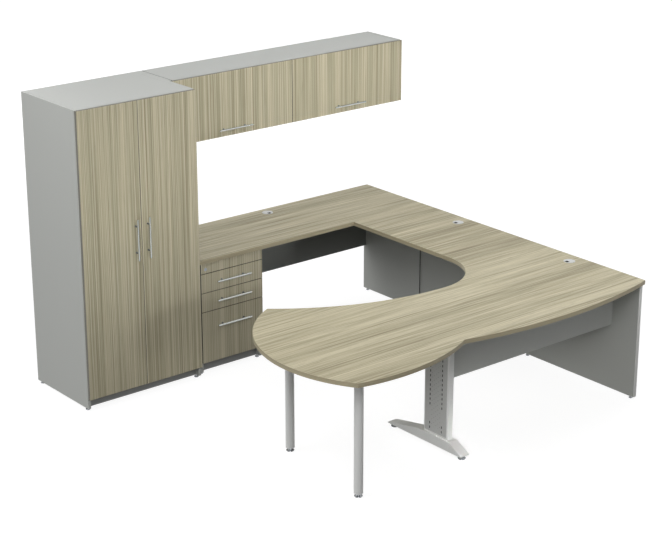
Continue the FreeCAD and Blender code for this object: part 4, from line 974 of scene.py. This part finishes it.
# %% Screws and shelf pins
SIDES = (-1, 1)
CORNERS = [(a, b) for a in SIDES for b in SIDES]
CABINET_MIDDLE = sum(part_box("cabinet_top"), Vector()).x / 2
ARM_SETBACK, ARM_HALF, PLATE_THICK, PLATE_REACH = 43 * MM, 7 * MM, 3 * MM, 16 * MM
ADJUSTERS = (8 * MM, 24 * MM)
SHEET_LIMIT = 5 * MM
JOINT_ACROSS, JOINT_ALONG = 15 * MM, 45 * MM
ANGLE_FACE, ANGLE_REACH, ANGLE_DROP, ANGLE_OUT = 17 * MM, 8 * MM, 4 * MM, 3 * MM
FLANGE_LIMIT, FLANGE_THICK, FLANGE_REACH = 90 * MM, 5 * MM, 28 * MM
CUP_REACH = 18.5 * MM


def hinge_screws():
    """Two screws through each mounting plate, and two adjusting screws on each arm."""
    for middle, span in islands("hinge_arms"):
        if span.x < span.z:
            out, wing = (X if middle.x < CABINET_MIDDLE else -X), Z
        else:
            out, wing = -Z, X
        plate = middle - out * (ARM_HALF - PLATE_THICK) + Y * (ARM_SETBACK - span.y / 2)
        yield from ((plate + wing * side * PLATE_REACH, out) for side in SIDES)
        yield from ((middle + out * ARM_HALF + Y * back, out) for back in ADJUSTERS)


def angle_screws():
    """Two screws in each leg of an angle, and four in each joint plate."""
    for middle, span in islands("steel_brackets"):
        if span.z < SHEET_LIMIT:
            face = middle - Z * span.z / 2
            yield from ((face + X * a * JOINT_ACROSS + Y * b * JOINT_ALONG, -Z) for a, b in CORNERS)
        elif span.y > SHEET_LIMIT:
            along_y = span.x > span.y
            run = Y if along_y else X
            out = -X if along_y else Y if middle.y < 0 else -Y
            leg = middle - out * ANGLE_FACE - Z * ANGLE_DROP
            under = middle + Z * ANGLE_FACE + out * ANGLE_OUT
            for side in SIDES:
                shift = run * side * ANGLE_REACH
                yield leg + shift, out
                yield under + shift, -Z


def flange_screws():
    """Four screws in the flange of each post leg."""
    for middle, span in islands("post_legs"):
        if span.x > FLANGE_LIMIT:
            base = middle + Z * (span.z / 2 - FLANGE_THICK)
            yield from ((base + (X * a + Y * b) * FLANGE_REACH, -Z) for a, b in CORNERS)


def cup_screws(node):
    """One screw on each side of a hinge cup."""
    run = Z if node.endswith("door_hinge_cups") else X
    for middle, span in islands(node):
        face = middle + Y * span.y / 2
        yield from ((face + run * side * CUP_REACH, Y) for side in SIDES)


CARCASS_SPOTS = [*hinge_screws(), *angle_screws(), *flange_screws()]
settle(stand("carcass_screws", HEAD, CARCASS_SPOTS, STEEL), "root", "fitting_steel")
for body in CABINET_FRONTS:
    screws = stand(f"{body}_screws", HEAD, [*cup_screws(f"{body}_hinge_cups")], STEEL)
    settle(screws, body, "fitting_steel")
PIN = profile((0, -8), (2.4, -8), (2.4, 2), (2.1, 2.2), (2.1, 2.8), (2.4, 3), (2.4, 7.6), (2, 8.6),
              (0, 8.9))
pins = stand("shelf_pins", turned("shelf_pin", PIN, steps=12), PIN_SPOTS, STEEL)
settle(pins, "root", "fitting_steel")
print("screws on the carcasses:", len(CARCASS_SPOTS), "shelf pins:", len(PIN_SPOTS))

# %% [markdown]
# ## Studio floor
# The set stands on a plain pale floor. What the camera and the metal see of it is nearly white, while the
# light that it throws back under the worktops stays low, so that the knee holes keep their depth. The floor
# still takes the shadow. Far from the set it fades to the white of the sky, so that no horizon shows, and
# from below it is clear, so that the undersides can be looked at.

# %% Studio floor
def seen_directly(tree):
    """1 for what the camera, a reflection or glass looks at, 0 for light that bounces."""
    path = add(tree, "ShaderNodeLightPath").outputs
    metal = calc(tree, "MAXIMUM", path["Is Glossy Ray"], path["Is Transmission Ray"])
    return calc(tree, "MAXIMUM", path["Is Camera Ray"], metal)


FLOOR_COLOR = (0.2, 0.2, 0.2, 1)
FLOOR_GLOW = 0.9
FAR_GLOW = 1.0
FADE_START, FADE_END = 4.0, 7.0
FLOOR_REACH = 60

floor_mesh = bpy.data.meshes.new("floor")
corners = [(x * FLOOR_REACH, y * FLOOR_REACH, 0) for x, y in ((-1, -1), (1, -1), (1, 1), (-1, 1))]
floor_mesh.from_pydata(corners, [], [(0, 1, 2, 3)])
floor = bpy.data.objects.new("floor", floor_mesh)
scene.collection.objects.link(floor)
floor_finish = bpy.data.materials.new("pale_floor")
floor_finish.use_nodes = True
tree = floor_finish.node_tree
tree.nodes.clear()
matt = add(tree, "ShaderNodeBsdfDiffuse", {"Color": FLOOR_COLOR}).outputs[0]
place = add(tree, "ShaderNodeTexCoord").outputs["Object"]
distance = vector(tree, "LENGTH", place)["Value"]
level = ramp(tree, distance, FADE_START, FADE_END, FLOOR_GLOW, FAR_GLOW)
strength = times(tree, seen_directly(tree), level)
glow = add(tree, "ShaderNodeEmission", {"Strength": strength}).outputs[0]
above = add(tree, "ShaderNodeAddShader", {0: matt, 1: glow}).outputs[0]
below = add(tree, "ShaderNodeBsdfTransparent").outputs[0]
side = add(tree, "ShaderNodeNewGeometry").outputs["Backfacing"]
both = add(tree, "ShaderNodeMixShader", {0: side, 1: above, 2: below}).outputs[0]
add(tree, "ShaderNodeOutputMaterial", {"Surface": both})
floor_mesh.materials.append(floor_finish)
print("floor:", 2 * FLOOR_REACH, "metres wide")

# %% [markdown]
# ## Studio sky and lamps
# A big lamp high in front, on the camera's side, does most of the work. A few narrow ones reach the fronts
# and the foot of the T-leg, and one on the right and one at the back light the far sides. The sky is white
# to look at, but its own light is a soft lobe from the back left, so that the shadows don't fill up.

# %% Studio sky and lamps
SKY_SIDE = Vector((-0.61, 0.35, 0.71))
SKY_FOCUS = 6.0
SKY_COLOR = (1, 1, 1, 1)
SKY_LEVEL = 1.84
SKY_BASE = 0.04
# Each lamp is a name, a place, what it points at, its power, width and spread in degrees.
LAMPS = (
    ("key", (-5.5, -7.0, 6.5), (0, 0, 0.8), 364, 4.0, 180),
    ("overhead", (1.1, -1.2, 4.4), (0.9, 0.2, 0), 43, 4.0, 180),
    ("left_side", (-3.0, 0.5, 3.2), (-1.3, 1.0, 1.2), 22, 2.0, 180),
    ("front_left", (-1.5, -6.8, 2.4), (-1.1, 0.72, 1.25), 1.9, 0.8, 18),
    ("front_right", (1.2, -6.8, 2.6), (0.8, 0.97, 1.75), 7.5, 1.2, 27),
    ("left_low", (-6.0, -4.2, 0.7), (-0.25, -1.0, 0.2), 0.7, 1.0, 30),
    ("foot_spot", (0.1, -6.0, 2.4), (-0.05, -1.05, 0.08), 0.25, 0.3, 7),
    ("right_rim", (8.0, 0.5, 2.2), (1.3, 0, 0.7), 160, 3.0, 180),
    ("back_rim", (1.0, 8.5, 2.4), (0, 1.3, 0.9), 160, 3.0, 180),
)

world = bpy.data.worlds.new("studio")
scene.world = world
world.use_nodes = True
tree = world.node_tree
tree.nodes.clear()
way = add(tree, "ShaderNodeTexCoord").outputs["Generated"]
facing = vector(tree, "DOT_PRODUCT", way, SKY_SIDE)["Value"]
lobe = calc(tree, "POWER", calc(tree, "MAXIMUM", facing, 0.0), SKY_FOCUS)
dome = calc(tree, "ADD", times(tree, lobe, SKY_LEVEL), SKY_BASE)
seen = seen_directly(tree)
strength = calc(tree, "ADD", times(tree, dome, calc(tree, "SUBTRACT", 1.0, seen)), seen)
sky = add(tree, "ShaderNodeBackground", {"Color": SKY_COLOR, "Strength": strength}).outputs[0]
add(tree, "ShaderNodeOutputWorld", {"Surface": sky})

for name, place, target, power, width, spread in LAMPS:
    lamp = bpy.data.lights.new(name, "AREA")
    lamp.energy = power
    lamp.size = width
    lamp.spread = math.radians(spread)
    light = bpy.data.objects.new(name, lamp)
    scene.collection.objects.link(light)
    light.location = place
    light.rotation_euler = (Vector(target) - Vector(place)).to_track_quat("-Z", "Y").to_euler()
scene.view_settings.view_transform = "Standard"
print("lamps:", len(LAMPS))
